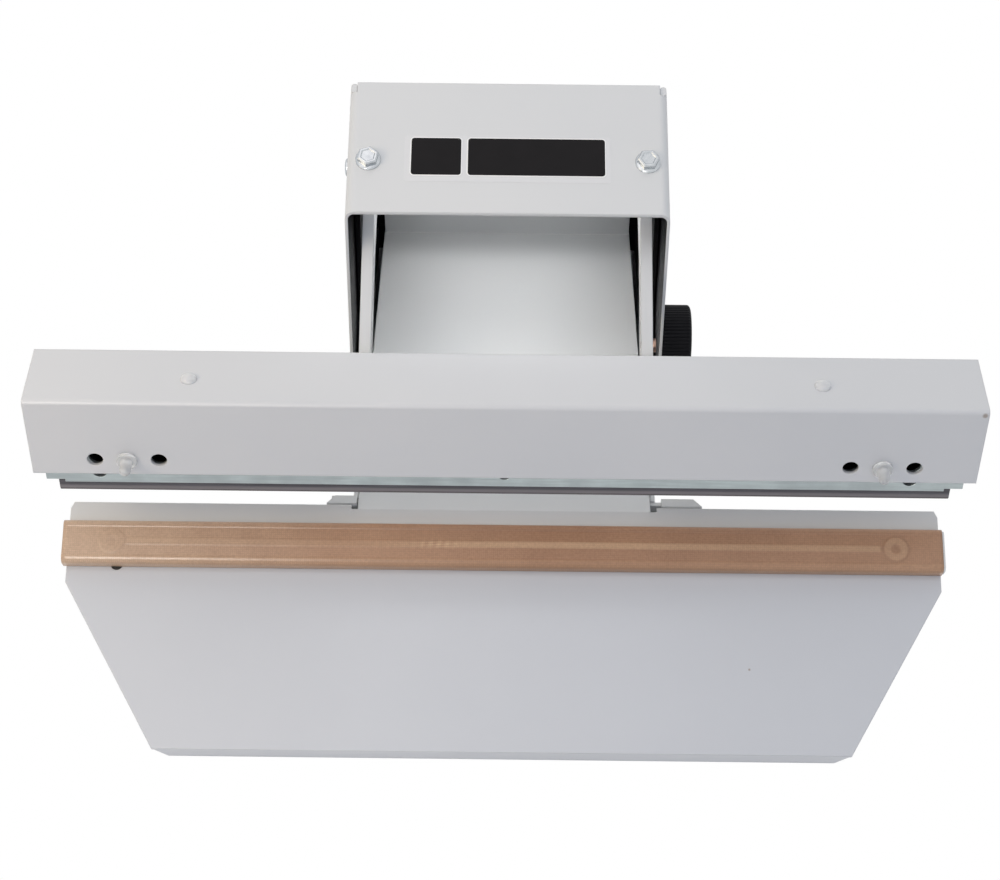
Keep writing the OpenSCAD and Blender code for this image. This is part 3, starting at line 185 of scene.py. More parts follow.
# Turned, pressed and rolled steel: the carrier of the sealing rubber, screws, pins, collars, the pull link,
# the switch's bracket and the potentiometer's can. Bright zinc plating, which is bluish green and clouded.
def zinc_plating():
    """Electroplated zinc: a soft metal gloss with pale green clouds and faint streaks along X."""
    cloud, streak = 9 * mm, 1.2 * mm
    made, tree, place = start_material("bright_zinc_plating")
    long = put(tree, "Mapping", {"Vector": place, "Scale": (0.06, 1, 1)})
    streaks = put(tree, "TexNoise", {"Vector": long.outputs[0], "Scale": 1 / streak, "Detail": 4.0})
    clouds = put(tree, "TexNoise", {"Vector": place, "Scale": 1 / cloud, "Detail": 3.0})
    both = put(tree, "Math", {0: streaks.outputs["Fac"], 1: clouds.outputs["Fac"]}, operation="MULTIPLY")
    fade = put(tree, "MapRange", {"Value": both.outputs[0], "From Min": 0.12, "From Max": 0.4})
    colour = put(tree, "Mix", {0: fade.outputs[0], 6: linear("#a0a8aa"), 7: linear("#b4bebf")},
                 data_type="RGBA")
    gloss = put(tree, "MapRange", {"Value": streaks.outputs["Fac"], "To Min": 0.28, "To Max": 0.5})
    bump = put(tree, "Bump", {"Height": streaks.outputs["Fac"], "Strength": 0.1, "Distance": 0.03 * mm})
    close_material(tree, put(tree, "BsdfPrincipled", {
        "Base Color": colour.outputs[2], "Metallic": 0.85, "Roughness": gloss.outputs[0],
        "Normal": bump.outputs[0]}))
    return made


zinc = zinc_plating()
for zinc_piece in ("rubber_carrier", "jaw_screws", "shaft_collars", "spring_pins", "arm_screws", "pull_link",
                   "switch_bracket", "potentiometer", "knob_shaft"):
    dress(zinc_piece, zinc, 0.2 * mm)


# Drawn steel, uncoated: the pivot shaft, the rods, the cam and the wire of the springs. It has fine lines
# along the way it was drawn, and a thin film of oil.
def drawn_steel():
    """Cold-drawn steel: fine lines along X and a dark grey metal gloss."""
    line = 0.5 * mm
    made, tree, place = start_material("drawn_steel")
    long = put(tree, "Mapping", {"Vector": place, "Scale": (0.03, 1, 1)})
    lines = put(tree, "TexNoise", {"Vector": long.outputs[0], "Scale": 1 / line, "Detail": 3.0})
    colour = put(tree, "Mix", {0: lines.outputs["Fac"], 6: linear("#8a8c8e"), 7: linear("#b2b4b5")},
                 data_type="RGBA")
    gloss = put(tree, "MapRange", {"Value": lines.outputs["Fac"], "To Min": 0.25, "To Max": 0.42})
    bump = put(tree, "Bump", {"Height": lines.outputs["Fac"], "Strength": 0.15, "Distance": 0.02 * mm})
    close_material(tree, put(tree, "BsdfPrincipled", {
        "Base Color": colour.outputs[2], "Metallic": 1.0, "Roughness": gloss.outputs[0],
        "Normal": bump.outputs[0]}))
    return made


steel = drawn_steel()
for steel_piece in ("pivot_shaft", "spring_rod", "crank_rod", "switch_cam"):
    dress(steel_piece, steel, 0.2 * mm)


# Return springs: two coil springs of 1.2 mm wire, each with a loop round its pin on the arm and another
# round the rod in the chassis.
pin_at, rod_at = Vector((0, -15, 170)) * mm, Vector((0, 43, 142)) * mm
spring_x, pin_loop, rod_loop = 46 * mm, 2.9 * mm, 3.9 * mm
wire, coil_radius, coil_turns = 1.2 * mm, 4 * mm, 16


def spring_points():
    """The wire's middle line in one plane with its curls: along the spring, off it and across."""
    reach = (rod_at - pin_at).length
    first, last = pin_loop + 1.8 * coil_radius, reach - rod_loop - 1.8 * coil_radius
    loop_steps, coil_steps, points = 24, 20, []
    for i in range(loop_steps + 1):
        a = math.radians(120 - 240 * (1 - i / loop_steps))
        points.append((pin_loop * math.sin(a), pin_loop * math.cos(a), 0))
    for i in range(coil_turns * coil_steps + 1):
        a, share = 2 * math.pi * i / coil_steps, i / (coil_turns * coil_steps)
        points.append((first + share * (last - first), coil_radius * math.cos(a), coil_radius * math.sin(a)))
    for i in range(loop_steps + 1):
        a = math.radians(60 - 240 * i / loop_steps)
        points.append((reach - rod_loop * math.sin(a), rod_loop * math.cos(a), 0))
    return points


def spring_wire():
    """Both springs as one mesh of round wire."""
    along = (rod_at - pin_at).normalized()
    off = Vector((0, -along.z, along.y))
    curve = bpy.data.curves.new("spring_line", "CURVE")
    curve.dimensions, curve.bevel_depth, curve.bevel_resolution, curve.use_fill_caps = "3D", wire / 2, 3, True
    for side in (-1, 1):
        line = curve.splines.new("POLY")
        places = [pin_at + along * s + off * n + Vector((side * spring_x + x, 0, 0))
                  for s, n, x in spring_points()]
        line.points.add(len(places) - 1)
        line.points.foreach_set("co", [c for place in places for c in (*place, 1)])
    drawn = bpy.data.objects.new("spring_line", curve)
    mesh = bpy.data.meshes.new_from_object(drawn)
    bpy.data.objects.remove(drawn)
    mesh.name = "return_spring_wires"
    mesh.materials.clear()
    mesh.materials.append(steel)
    mesh.shade_smooth()
    piece = bpy.data.objects.new("return_spring_wires", mesh)
    bpy.context.scene.collection.objects.link(piece)
    return piece


springs = spring_wire()
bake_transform(springs)
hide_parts("return_springs")


# Jaw bar and jaw beam: lengths of extruded aluminium bar, drilled for their screws. The die leaves fine
# lines along the bar, and bare aluminium dulls to a soft grey.
def extruded_aluminium():
    """Mill-finish aluminium: soft lines along X on a pale, dull metal, and painted shade, near black, deep in
    its holes.
    """
    line = 0.8 * mm
    made, tree, place = start_material("extruded_aluminium")
    long = put(tree, "Mapping", {"Vector": place, "Scale": (0.02, 1, 1)})
    lines = put(tree, "TexNoise", {"Vector": long.outputs[0], "Scale": 1 / line, "Detail": 4.0})
    colour = put(tree, "Mix", {0: lines.outputs["Fac"], 6: linear("#b4b6b8"), 7: linear("#cfd1d2")},
                 data_type="RGBA")
    # Painted shade: near black where the occlusion finds a recess, deep in the holes.
    hole_shade = put(tree, "AmbientOcclusion", {"Distance": 9 * mm})
    unshaded = put(tree, "MapRange", {"Value": hole_shade.outputs["AO"], "From Min": 0.25, "From Max": 0.7})
    colour = put(tree, "Mix", {0: unshaded.outputs[0], 6: linear("#0d0c0c"), 7: colour.outputs[2]},
                 data_type="RGBA")
    bump = put(tree, "Bump", {"Height": lines.outputs["Fac"], "Strength": 0.2, "Distance": 0.02 * mm})
    close_material(tree, put(tree, "BsdfPrincipled", {
        "Base Color": colour.outputs[2], "Metallic": 1.0, "Roughness": 0.42, "Normal": bump.outputs[0]}))
    return made


aluminium = extruded_aluminium()
for bar_piece in ("jaw_bar", "jaw_beam"):
    dress(bar_piece, aluminium, 0.3 * mm)


# Band studs, shaft bushes and the small screws on the arms: turned brass, screwed or pressed into place.
# Handling and heat have dulled it to an uneven brown.
def turned_brass():
    """Turned brass, browned in clouds."""
    cloud = 3 * mm
    made, tree, place = start_material("turned_brass")
    clouds = put(tree, "TexNoise", {"Vector": place, "Scale": 1 / cloud, "Detail": 3.0})
    colour = put(tree, "Mix", {0: clouds.outputs["Fac"], 6: linear("#80685c"), 7: linear("#a88e80")},
                 data_type="RGBA")
    gloss = put(tree, "MapRange", {"Value": clouds.outputs["Fac"], "To Min": 0.25, "To Max": 0.45})
    close_material(tree, put(tree, "BsdfPrincipled", {
        "Base Color": colour.outputs[2], "Metallic": 1.0, "Roughness": gloss.outputs[0]}))
    return made


brass = turned_brass()
for brass_piece in ("band_studs", "shaft_bushes", "arm_bolts"):
    dress(brass_piece, brass, 0.2 * mm)


# Heating band, its insulation and the stud washers: a strip of resistance alloy on woven glass tape, with
# pressed fibre washers under the deck. All of them lie under the cloth or below the deck.
def speckled(name, dark, pale, grain, gloss, metal=0.0, shine=0.5):
    """A plain surface with a fine grain in its colour and height, and more or less shine."""
    made, tree, place = start_material(name)
    grains = put(tree, "TexNoise", {"Vector": place, "Scale": 1 / grain, "Detail": 3.0})
    colour = put(tree, "Mix", {0: grains.outputs["Fac"], 6: linear(dark), 7: linear(pale)}, data_type="RGBA")
    bump = put(tree, "Bump", {"Height": grains.outputs["Fac"], "Strength": 0.2, "Distance": 0.05 * mm})
    close_material(tree, put(tree, "BsdfPrincipled", {
        "Base Color": colour.outputs[2], "Metallic": metal, "Roughness": gloss, "Specular IOR Level": shine,
        "Normal": bump.outputs[0]}))
    return made


dress("heating_band", speckled("resistance_alloy", "#6f6d6a", "#8e8a84", 2 * mm, 0.4, 1.0))
dress("band_insulation", speckled("woven_glass_tape", "#cfc7b4", "#e2dccb", 0.6 * mm, 0.8))
dress("stud_washers", speckled("pressed_fibre", "#5a4330", "#7a5c42", 0.8 * mm, 0.7), 0.15 * mm)


# Cloth of the lower jaw: brown PTFE-coated glass cloth pulled over the bar and tucked down both sides. The
# band and the heads of its studs press up through it as a ridge and two rings, and heat has creased it.
deck_slope = math.radians(33)
deck = Matrix.Translation((0, -99 * mm, 59.7 * mm)) @ Matrix.Rotation(deck_slope, 4, "X")
cloth_half, cloth_top, cloth_bend = 9 * mm, 6.5 * mm, 2.8 * mm
cloth_left, cloth_right = -176.2 * mm, 175.3 * mm
cloth_thick, cloth_rise = 0.3 * mm, 0.2 * mm
band_half, stud_x, stud_head, stud_middle = 1.25 * mm, 156.5 * mm, 5 * mm, 1.9 * mm
crease_x, crease_reach = -27 * mm, 8 * mm


def smooth(low, high, value):
    """0 below low, 1 above high, and an even slope between."""
    t = min(1.0, max(0.0, (value - low) / (high - low)))
    return t * t * (3 - 2 * t)


def pressed(x, y):
    """How far the band and the stud heads push the cloth up at a point, from 0 to 1."""
    away = min(math.hypot(x - stud_x, y), math.hypot(x + stud_x, y))
    head = 1 - smooth(stud_head - 0.3 * mm, stud_head + 0.5 * mm, away)
    dent = 0.55 * (1 - smooth(stud_middle - 0.5 * mm, stud_middle + 0.4 * mm, away))
    ridge = (1 - smooth(band_half - 0.2 * mm, band_half + 0.7 * mm, abs(y))) if abs(x) < stud_x else 0
    return max(head - dent, ridge if away > stud_head else 0)


def toned(x, y):
    """How the cloth has changed colour, from -1 for dark to 1 for pale: over the band, most right of its
    middle and broken by the creases, and round the stud heads, which have darker rims and middles."""
    away = min(math.hypot(x - stud_x, y), math.hypot(x + stud_x, y))
    right = 0.35 + 0.65 * smooth(-90 * mm, 90 * mm, x)
    if away < stud_head + 1.2 * mm:
        rim = math.exp(-((away - stud_head - 0.2 * mm) / (0.5 * mm)) ** 2)
        middle = 1 - smooth(stud_middle - 0.8 * mm, stud_middle + 0.6 * mm, away)
        inside = 1 - smooth(stud_head - 0.4 * mm, stud_head, away)
        return right * (0.24 * inside - 0.28 * rim - 0.5 * middle)
    wave = 0.6 * mm * math.sin(x / (31 * mm)) * (1 - right)
    band = 1 - smooth(band_half - 0.5 * mm, band_half + 0.5 * mm, abs(y - wave))
    pale = 0.14 + 0.34 * smooth(-60 * mm, -15 * mm, x) - 0.14 * smooth(40 * mm, 110 * mm, x)
    worn = math.sin(x / (1.3 * mm) + 2.5 * y / mm) * math.cos(x / (0.9 * mm) - 3.1 * y / mm)
    worn *= math.exp(-((x - crease_x) / crease_reach) ** 2 - (y / (1.4 * mm)) ** 2)
    return band * pale + 0.5 * worn if abs(x) < stud_x else 0.0


def slack(x, y):
    """Small lasting creases of the cloth: long soft ones, and short slanted ones beside the band."""
    near = math.exp(-((x - crease_x) / crease_reach) ** 2)
    slanted = near * math.sin((x + 1.6 * y) / (0.9 * mm)) * math.exp(-(y / (1.5 * mm)) ** 2)
    soft = 0.3 * math.sin(x / (23 * mm) + y / (2.6 * mm)) + 0.2 * math.sin(x / (9 * mm) - y / (1.9 * mm))
    return soft + 0.9 * slanted


def cloth_section():
    """Outline of the cloth over the bar, from its front edge on the deck to its back one: (y, z, flat)."""
    side_steps, bend_steps, steps = 5, 6, 44
    flat, points = cloth_half - cloth_bend, []
    for i in range(side_steps):
        points.append((-cloth_half, i / side_steps * (cloth_top - cloth_bend), 0.0))
    for i in range(bend_steps + 1):
        a = math.pi / 2 * i / bend_steps
        points.append((-flat - cloth_bend * math.cos(a), cloth_top - cloth_bend * (1 - math.sin(a)), 0.0))
    front = list(points)
    for i in range(1, steps):
        points.append((flat * (2 * i / steps - 1), cloth_top, 1.0))
    return points + [(-y, z, f) for y, z, f in reversed(front)]


def cloth_columns():
    """Places along the cloth: close together at the stud heads and the creases."""
    fine_step, plain_step, places, x = 0.45 * mm, 1.8 * mm, [], cloth_left
    while x < cloth_right - 0.2 * mm:
        places.append(x)
        fine = abs(abs(x) - stud_x) < 8 * mm or abs(x - crease_x) < 1.6 * crease_reach
        x += fine_step if fine else plain_step
    return places + [cloth_right]


def make_cloth():
    """The cloth as one grid, given its thickness inwards, with its tone kept for its material."""
    slack_rise, front_tone = 0.035 * mm, 0.12
    section, columns = cloth_section(), cloth_columns()
    mesh = bpy.data.meshes.new("ptfe_cloth_sheet")
    points, share = [], []
    for x in columns:
        for y, z, flat in section:
            up = pressed(x, y) * flat
            lift = cloth_rise * (up - 1) * flat + slack_rise * (slack(x, y) - 1) * flat
            points.append(deck @ Vector((x, y, z + lift)))
            share.append(toned(x, y) if flat else front_tone if y < 0 else 0.0)
    rows = len(section)
    faces = [(i * rows + k, (i + 1) * rows + k, (i + 1) * rows + k + 1, i * rows + k + 1)
             for i in range(len(columns) - 1) for k in range(rows - 1)]
    mesh.from_pydata(points, [], faces)
    mesh.attributes.new("toned", "FLOAT", "POINT").data.foreach_set("value", share)
    mesh.shade_smooth()
    piece = bpy.data.objects.new("ptfe_cloth_sheet", mesh)
    bpy.context.scene.collection.objects.link(piece)
    body = piece.modifiers.new("thickness", "SOLIDIFY")
    body.thickness, body.offset = cloth_thick, -1
    return piece


def coated_glass_cloth():
    """PTFE on woven glass: a waxy brown with a square weave, paler where it is pressed and towards one end.
    The threads are 0.4 mm apart, and are drawn at 0.8 mm so that they show. A wave at a scale of 1 repeats
    every 0.314."""
    thread, wave_repeat, blotch_size, lint_size = 0.8 * mm, 0.314, 14 * mm, 0.9 * mm
    made, tree, place = start_material("ptfe_coated_glass_cloth")
    turned = put(tree, "Mapping", {"Vector": place, "Rotation": (-deck_slope, 0, 0)}, vector_type="POINT")
    warp = put(tree, "TexWave", {"Vector": turned.outputs[0], "Scale": wave_repeat / thread,
                                 "Distortion": 1.2, "Detail": 2.0, "Detail Scale": 0.6}, bands_direction="X")
    weft = put(tree, "TexWave", {"Vector": turned.outputs[0], "Scale": wave_repeat / thread,
                                 "Distortion": 1.2, "Detail": 2.0, "Detail Scale": 0.6}, bands_direction="Y")
    weave = put(tree, "Math", {0: warp.outputs["Fac"], 1: weft.outputs["Fac"]}, operation="MULTIPLY")
    along = put(tree, "SeparateXYZ", {0: place})
    # The brown goes darker from the left end to past the middle, and a little paler again at the right end.
    end_to_end = put(tree, "MapRange", {"Value": along.outputs["X"], "From Min": cloth_left,
                                 "From Max": cloth_right})
    brown = put(tree, "ValToRGB", {0: end_to_end.outputs[0]})
    stops = brown.color_ramp.elements
    stops[0].color, stops[1].color = linear("#ceb299"), linear("#b38c70")
    for at, code in ((0.3, "#b79175"), (0.55, "#a57d61")):
        stops.new(at).color = linear(code)
    blotch = put(tree, "TexNoise", {"Vector": place, "Scale": 1 / blotch_size, "Detail": 4.0})
    faint = put(tree, "MapRange", {"Value": blotch.outputs["Fac"], "From Min": 0.35, "From Max": 0.65,
                                   "To Max": 0.16})
    stained = put(tree, "Mix", {0: faint.outputs[0], 6: brown.outputs[0], 7: linear("#84604a")},
                  data_type="RGBA")
    tone = put(tree, "Attribute", attribute_name="toned")
    pale = put(tree, "Mix", {0: tone.outputs["Fac"], 6: stained.outputs[2], 7: linear("#d6b592")},
               data_type="RGBA")
    darker = put(tree, "Math", {0: tone.outputs["Fac"], 1: -0.6}, operation="MULTIPLY")
    brown = put(tree, "Mix", {0: darker.outputs[0], 6: pale.outputs[2], 7: linear("#6e5038")},
                data_type="RGBA")
    lint = put(tree, "TexNoise", {"Vector": place, "Scale": 1 / lint_size, "Detail": 2.0})
    woven = put(tree, "MapRange", {"Value": weave.outputs[0], "To Min": 0.9, "To Max": 1.05})
    mottled = put(tree, "MapRange", {"Value": lint.outputs["Fac"], "From Min": 0.3, "From Max": 0.7,
                                     "To Min": 0.92, "To Max": 1.08})
    dim = put(tree, "Math", {0: woven.outputs[0], 1: mottled.outputs[0]}, operation="MULTIPLY")
    shade = put(tree, "VectorMath", {0: brown.outputs[2], "Scale": dim.outputs[0]}, operation="SCALE")
    bump = put(tree, "Bump", {"Height": weave.outputs[0], "Strength": 0.2, "Distance": 0.05 * mm})
    close_material(tree, put(tree, "BsdfPrincipled", {
        "Base Color": shade.outputs[0], "Roughness": 0.28, "IOR": 1.38, "Normal": bump.outputs[0]}))
    return made


cloth = make_cloth()
cloth.data.materials.append(coated_glass_cloth())
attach(cloth, "base")
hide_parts("ptfe_cloth")


# Sealing rubber and stop bumpers: an extruded strip of grey silicone bonded under the carrier, and two
# moulded black rubber stops. Both are dull, and the strip is dusty. Up its front it is banded in painted
# light
# and shade: a paler line as painted light, a darker lower edge as painted shade, and painted shadow under the
# carrier. A small black disc fills a hole in the table.
jaw = Matrix.Translation((0, -114.6 * mm, 142.9 * mm)) @ Matrix.Rotation(math.radians(4), 4, "X")
strip_low, strip_shows = jaw @ Vector((0, 3.25 * mm, -47.6 * mm)), 6 * mm


def silicone_strip():
    """Grey silicone rubber: dull, dusty in long streaks, banded in painted light and shade: a paler line, a
    darker lower edge and painted shadow under the carrier.
    """
    dust_size = 0.8 * mm
    made, tree, place = start_material("silicone_rubber_grey")
    up = jaw.to_3x3() @ Vector((0, 0, 1))
    level = put(tree, "VectorMath", {0: place, 1: up}, operation="DOT_PRODUCT")
    share = put(tree, "MapRange", {"Value": level.outputs["Value"], "From Min": up.dot(strip_low),
                                   "From Max": up.dot(strip_low) + strip_shows})
    # Painted light and shade up the front: the pale band is painted light, the lower edge painted shade and
    # the dark top painted shadow under the carrier.
    lines = put(tree, "ValToRGB", {0: share.outputs[0]})
    stops = lines.color_ramp.elements
    stops[0].color, stops[1].color = linear("#585355"), linear("#39373d")
    for at, code in ((0.12, "#585355"), (0.2, "#757173"), (0.36, "#706c6f"), (0.46, "#4b494f")):
        stops.new(at).color = linear(code)
    long = put(tree, "Mapping", {"Vector": place, "Scale": (0.05, 1, 1)})
    dust = put(tree, "TexNoise", {"Vector": long.outputs[0], "Scale": 1 / dust_size, "Detail": 3.0})
    dusty = put(tree, "MapRange", {"Value": dust.outputs["Fac"], "From Min": 0.45, "From Max": 0.8,
                                   "To Max": 0.25})
    colour = put(tree, "Mix", {0: dusty.outputs[0], 6: lines.outputs[0], 7: linear("#85828a")},
                 data_type="RGBA")
    close_material(tree, put(tree, "BsdfPrincipled", {"Base Color": colour.outputs[2], "Roughness": 0.6}))
    return made


dress("sealing_rubber", silicone_strip(), 0.4 * mm)
black_rubber = speckled("moulded_black_rubber", "#101010", "#1c1c1c", 1 * mm, 0.75)
dress("stop_bumpers", black_rubber, 0.6 * mm)
dress("table_plug", black_rubber, 0.2 * mm)


# Hood bolts: zinc-plated sheet metal screws with a hexagon head on a pressed flange and a dished top. They
# go down through the hood into tabs of the chassis.
bolt_zinc = speckled("bright_zinc_on_screws", "#a9aeb4", "#cfd3d5", 2.5 * mm, 0.26, 1.0)
hood = Matrix.Translation((0, -46.1 * mm, 185 * mm)) @ Matrix.Rotation(math.radians(26.1), 4, "X")
bolt_x, bolt_y = 54.7 * mm, 23.9 * mm


def lathe(outline, turns=48):
    """A turned form from (radius, height) points, closed on its axis at both ends."""
    form = bmesh.new()
    rings = []
    for radius, height in outline:
        if radius < 1e-7:
            rings.append([form.verts.new((0, 0, height))])
        else:
            rings.append([form.verts.new((radius * math.cos(2 * math.pi * k / turns),
                                          radius * math.sin(2 * math.pi * k / turns), height))
                          for k in range(turns)])
    for low, high in zip(rings, rings[1:]):
        for k in range(turns):
            n = (k + 1) % turns
            corners = [low[k % len(low)], low[n % len(low)], high[n % len(high)], high[k % len(high)]]
            form.faces.new([c for i, c in enumerate(corners) if c not in corners[:i]])
    return form


def add_piece(name, form, material, body, slot, *stands_for, smooth_angle=35):
    """Makes a piece of a form, and says what it rides on and what it stands for; its slot is not used."""
    bmesh.ops.recalc_face_normals(form, faces=form.faces)
    mesh = bpy.data.meshes.new(name)
    form.to_mesh(mesh)
    form.free()
    mesh.materials.append(material)
    mesh.shade_smooth()
    mesh.set_sharp_from_angle(angle=math.radians(smooth_angle))
    piece = bpy.data.objects.new(name, mesh)
    bpy.context.scene.collection.objects.link(piece)
    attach(piece, body)
    if stands_for:
        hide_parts(*stands_for)
    return piece


def merged(*forms):
    """Several forms as one."""
    whole = bmesh.new()
    for form in forms:
        mesh = bpy.data.meshes.new("part")
        form.to_mesh(mesh)
        form.free()
        whole.from_mesh(mesh)
        bpy.data.meshes.remove(mesh)
    return whole


def moved(form, place):
    """A form put in its place."""
    bmesh.ops.transform(form, matrix=place, verts=form.verts)
    return form


def hex_flange_bolt():
    """Flange, hexagon with a chamfered and dished top, and the shank down through the hood and the tab."""
    flats, head = 3.75 * mm, 3.4 * mm
    flange = lathe([(0, 0.02 * mm), (5 * mm, 0.02 * mm), (5 * mm, 0.5 * mm), (4.7 * mm, 0.85 * mm),
                    (3.6 * mm, 1.25 * mm), (0, 1.25 * mm)])
    hexagon = bmesh.new()
    corner = flats / math.cos(math.radians(30))
    levels = ((1.0 * mm, corner), (head - 0.5 * mm, corner), (head, corner - 0.55 * mm),
              (head, corner - 1.2 * mm), (head - 0.45 * mm, corner - 1.7 * mm))
    rings = [[hexagon.verts.new((r * math.cos(math.pi / 3 * k), r * math.sin(math.pi / 3 * k), z))
              for k in range(6)] for z, r in levels]
    for low, high in zip(rings, rings[1:]):
        for k in range(6):
            hexagon.faces.new((low[k], low[(k + 1) % 6], high[(k + 1) % 6], high[k]))
    hexagon.faces.new(rings[-1])
    hexagon.faces.new(list(reversed(rings[0])))
    shank = lathe([(0, -9.8 * mm), (1.6 * mm, -9.8 * mm), (2 * mm, -9 * mm), (2 * mm, 0.2 * mm),
                   (0, 0.2 * mm)], 24)
    return merged(flange, hexagon, shank)


add_piece("hood_hex_bolts", moved(merged(
    moved(hex_flange_bolt(), Matrix.Translation((-bolt_x, bolt_y, 0)) @ Matrix.Rotation(0.35, 4, "Z")),
    moved(hex_flange_bolt(), Matrix.Translation((bolt_x, bolt_y, 0)) @ Matrix.Rotation(0.1, 4, "Z"))), hood),
    bolt_zinc, "base", "zinc_plate", "hood_bolts", smooth_angle=25)


# Label plates: two bare black plates with rounded corners and a narrow white rim, on a clear film that is
# stuck to the hood's slope.
plates_left, plates_back = -37.9 * mm, 17.1 * mm
plate_high, plate_gap, plate_wide = 17 * mm, 2.7 * mm, (19.5 * mm, 53.6 * mm)
rim, corner_round = 0.45 * mm, 1.2 * mm


def rounded_plate(left, front, wide, high, round_by, low, top):
    """A flat plate with rounded corners."""
    form = bmesh.new()
    outline = []
    for cx, cy, first in ((wide - round_by, round_by, -90), (wide - round_by, high - round_by, 0),
                          (round_by, high - round_by, 90), (round_by, round_by, 180)):
        for step in range(7):
            a = math.radians(first + 15 * step)
            outline.append((left + cx + round_by * math.cos(a), front + cy + round_by * math.sin(a)))
    base = form.faces.new([form.verts.new((x, y, low)) for x, y in outline])
    raised = bmesh.ops.extrude_face_region(form, geom=[base])
    bmesh.ops.translate(form, verts=[v for v in raised["geom"] if isinstance(v, bmesh.types.BMVert)],
                        vec=(0, 0, top - low))
    return form


def plate_forms(grow, low, top):
    """Both plates, grown on every side by a margin."""
    left, forms = plates_left, []
    for wide in plate_wide:
        forms.append(rounded_plate(left - grow, plates_back - grow, wide + 2 * grow, plate_high + 2 * grow,
                                   corner_round + grow, low, top))
        left += wide + plate_gap
    return moved(merged(*forms), hood)


add_piece("label_plates_black", plate_forms(0, 0.05 * mm, 0.3 * mm),
          speckled("printed_black_film", "#121113", "#1a181a", 8 * mm, 0.5, shine=0.12),
          "base", "label_film", "label_plates")
add_piece("label_plates_rim", plate_forms(rim, 0.04 * mm, 0.2 * mm),
          speckled("printed_white_rim", "#f0f0ee", "#f8f8f6", 8 * mm, 0.4), "base", "label_film")
film_left, film_front, film_wide, film_high, film_round = -40.6 * mm, 14 * mm, 80.7 * mm, 21.3 * mm, 1 * mm
add_piece("label_film_backing", moved(rounded_plate(
    film_left, film_front, film_wide, film_high, film_round, 0.01 * mm, 0.07 * mm), hood),
    speckled("clear_film_on_enamel", "#d6d7d8", "#dadbdc", 3 * mm, 0.3), "base", "label_film")


# Corner welds: a bead of weld in the notch at each back corner of the hood's top, where its folds meet. It
# lies a little below the top and is enamelled with the hood.
notch_x, notch_y, weld_wide, weld_long, weld_round = 60.2 * mm, 56.1 * mm, 2.5 * mm, 4.1 * mm, 1.1 * mm
add_piece("hood_corner_welds", moved(merged(*[
    rounded_plate(x, notch_y, weld_wide, weld_long, weld_round, -4 * mm, -0.9 * mm)
    for x in (notch_x, -notch_x - weld_wide)]), hood), hood_enamel, "base", "painted_sheet")


# Side screw: a zinc-plated pan head screw in the hood's left side. Its head is low and rounded, and its shank
# goes through the sheet.
side_screw_at = Vector((-63, -21, 189.6)) * mm
pan_head = lathe([(0, -4.2 * mm), (1.9 * mm, -4.2 * mm), (1.9 * mm, 0.01 * mm), (3.6 * mm, 0.01 * mm),
                  (3.6 * mm, 0.4 * mm), (3.2 * mm, 0.8 * mm), (2.2 * mm, 1.06 * mm), (0, 1.1 * mm)])
side_screw_turn = Matrix.Rotation(-math.pi / 2, 4, "Y")
add_piece("hood_pan_screw", moved(pan_head, Matrix.Translation(side_screw_at) @ side_screw_turn),
          bolt_zinc, "base", "zinc_plate", "hood_side_screw")


# Plugs of the upper jaw: two low domes on its top and two stepped pegs on its front, moulded in clear
# plastic and pushed into holes in the cover.
def clear_plastic(name, clear):
    """Clear moulded plastic, more or less milky, with a wet gloss."""
    cloud = 2 * mm
    made, tree, place = start_material(name)
    clouds = put(tree, "TexNoise", {"Vector": place, "Scale": 1 / cloud, "Detail": 2.0})
    colour = put(tree, "Mix", {0: clouds.outputs["Fac"], 6: linear("#e6e9ee"), 7: linear("#f6f6f4")},
                 data_type="RGBA")
    close_material(tree, put(tree, "BsdfPrincipled", {
        "Base Color": colour.outputs[2], "Roughness": 0.1, "IOR": 1.46, "Transmission Weight": clear}))
    return made


dome_outline = [(0, -3.4 * mm), (2.1 * mm, -3.4 * mm), (2.1 * mm, 0.02 * mm), (3.2 * mm, 0.02 * mm)]
dome_outline += [(3.2 * mm * math.cos(a), 2 * mm * math.sin(a))
                 for a in (math.pi / 2 * i / 8 for i in range(1, 8))]
dome_outline.append((0, 2 * mm))
peg_outline = [(0, -1.4 * mm), (1.8 * mm, -1.4 * mm), (1.8 * mm, 0.02 * mm), (3.7 * mm, 0.02 * mm),
               (3.9 * mm, 0.3 * mm), (3.9 * mm, 1.2 * mm), (3.6 * mm, 1.5 * mm), (2.5 * mm, 1.6 * mm),
               (2.35 * mm, 2 * mm), (2.25 * mm, 5.4 * mm), (2.05 * mm, 6.8 * mm), (1.6 * mm, 7.5 * mm),
               (0.9 * mm, 7.9 * mm), (0, 8 * mm)]
dome_x, dome_y, peg_x, peg_z = 119.8 * mm, 13.9 * mm, 144.2 * mm, -28.9 * mm
peg_turn = Matrix.Rotation(math.pi / 2, 4, "X")
add_piece("cover_dome_plugs", moved(merged(*[
    moved(lathe(dome_outline), Matrix.Translation((s * dome_x, dome_y, 0))) for s in (-1, 1)]), jaw),
    clear_plastic("milky_moulded_plastic", 0.3), "arm", "clear_plastic", "cover_domes")
add_piece("jaw_peg_plugs", moved(merged(*[
    moved(lathe(peg_outline), Matrix.Translation((s * peg_x, 0, peg_z)) @ peg_turn) for s in (-1, 1)]), jaw),
    clear_plastic("clear_moulded_plastic", 0.6), "arm", "clear_plastic", "jaw_pegs")


# Timer knob: moulded black plastic with ribs along its rim for the fingers, a rounded front edge and a
# sunk face with a pointer line.
def moulded_black():
    """Black ABS with the fine etched grain of its mould."""
    return speckled("moulded_black_plastic", "#0f0f12", "#18181c", 0.5 * mm, 0.45, shine=0.1)


black = moulded_black()
knob_at, knob_ribs = Vector((67.5, 30, 73.5)) * mm, 60


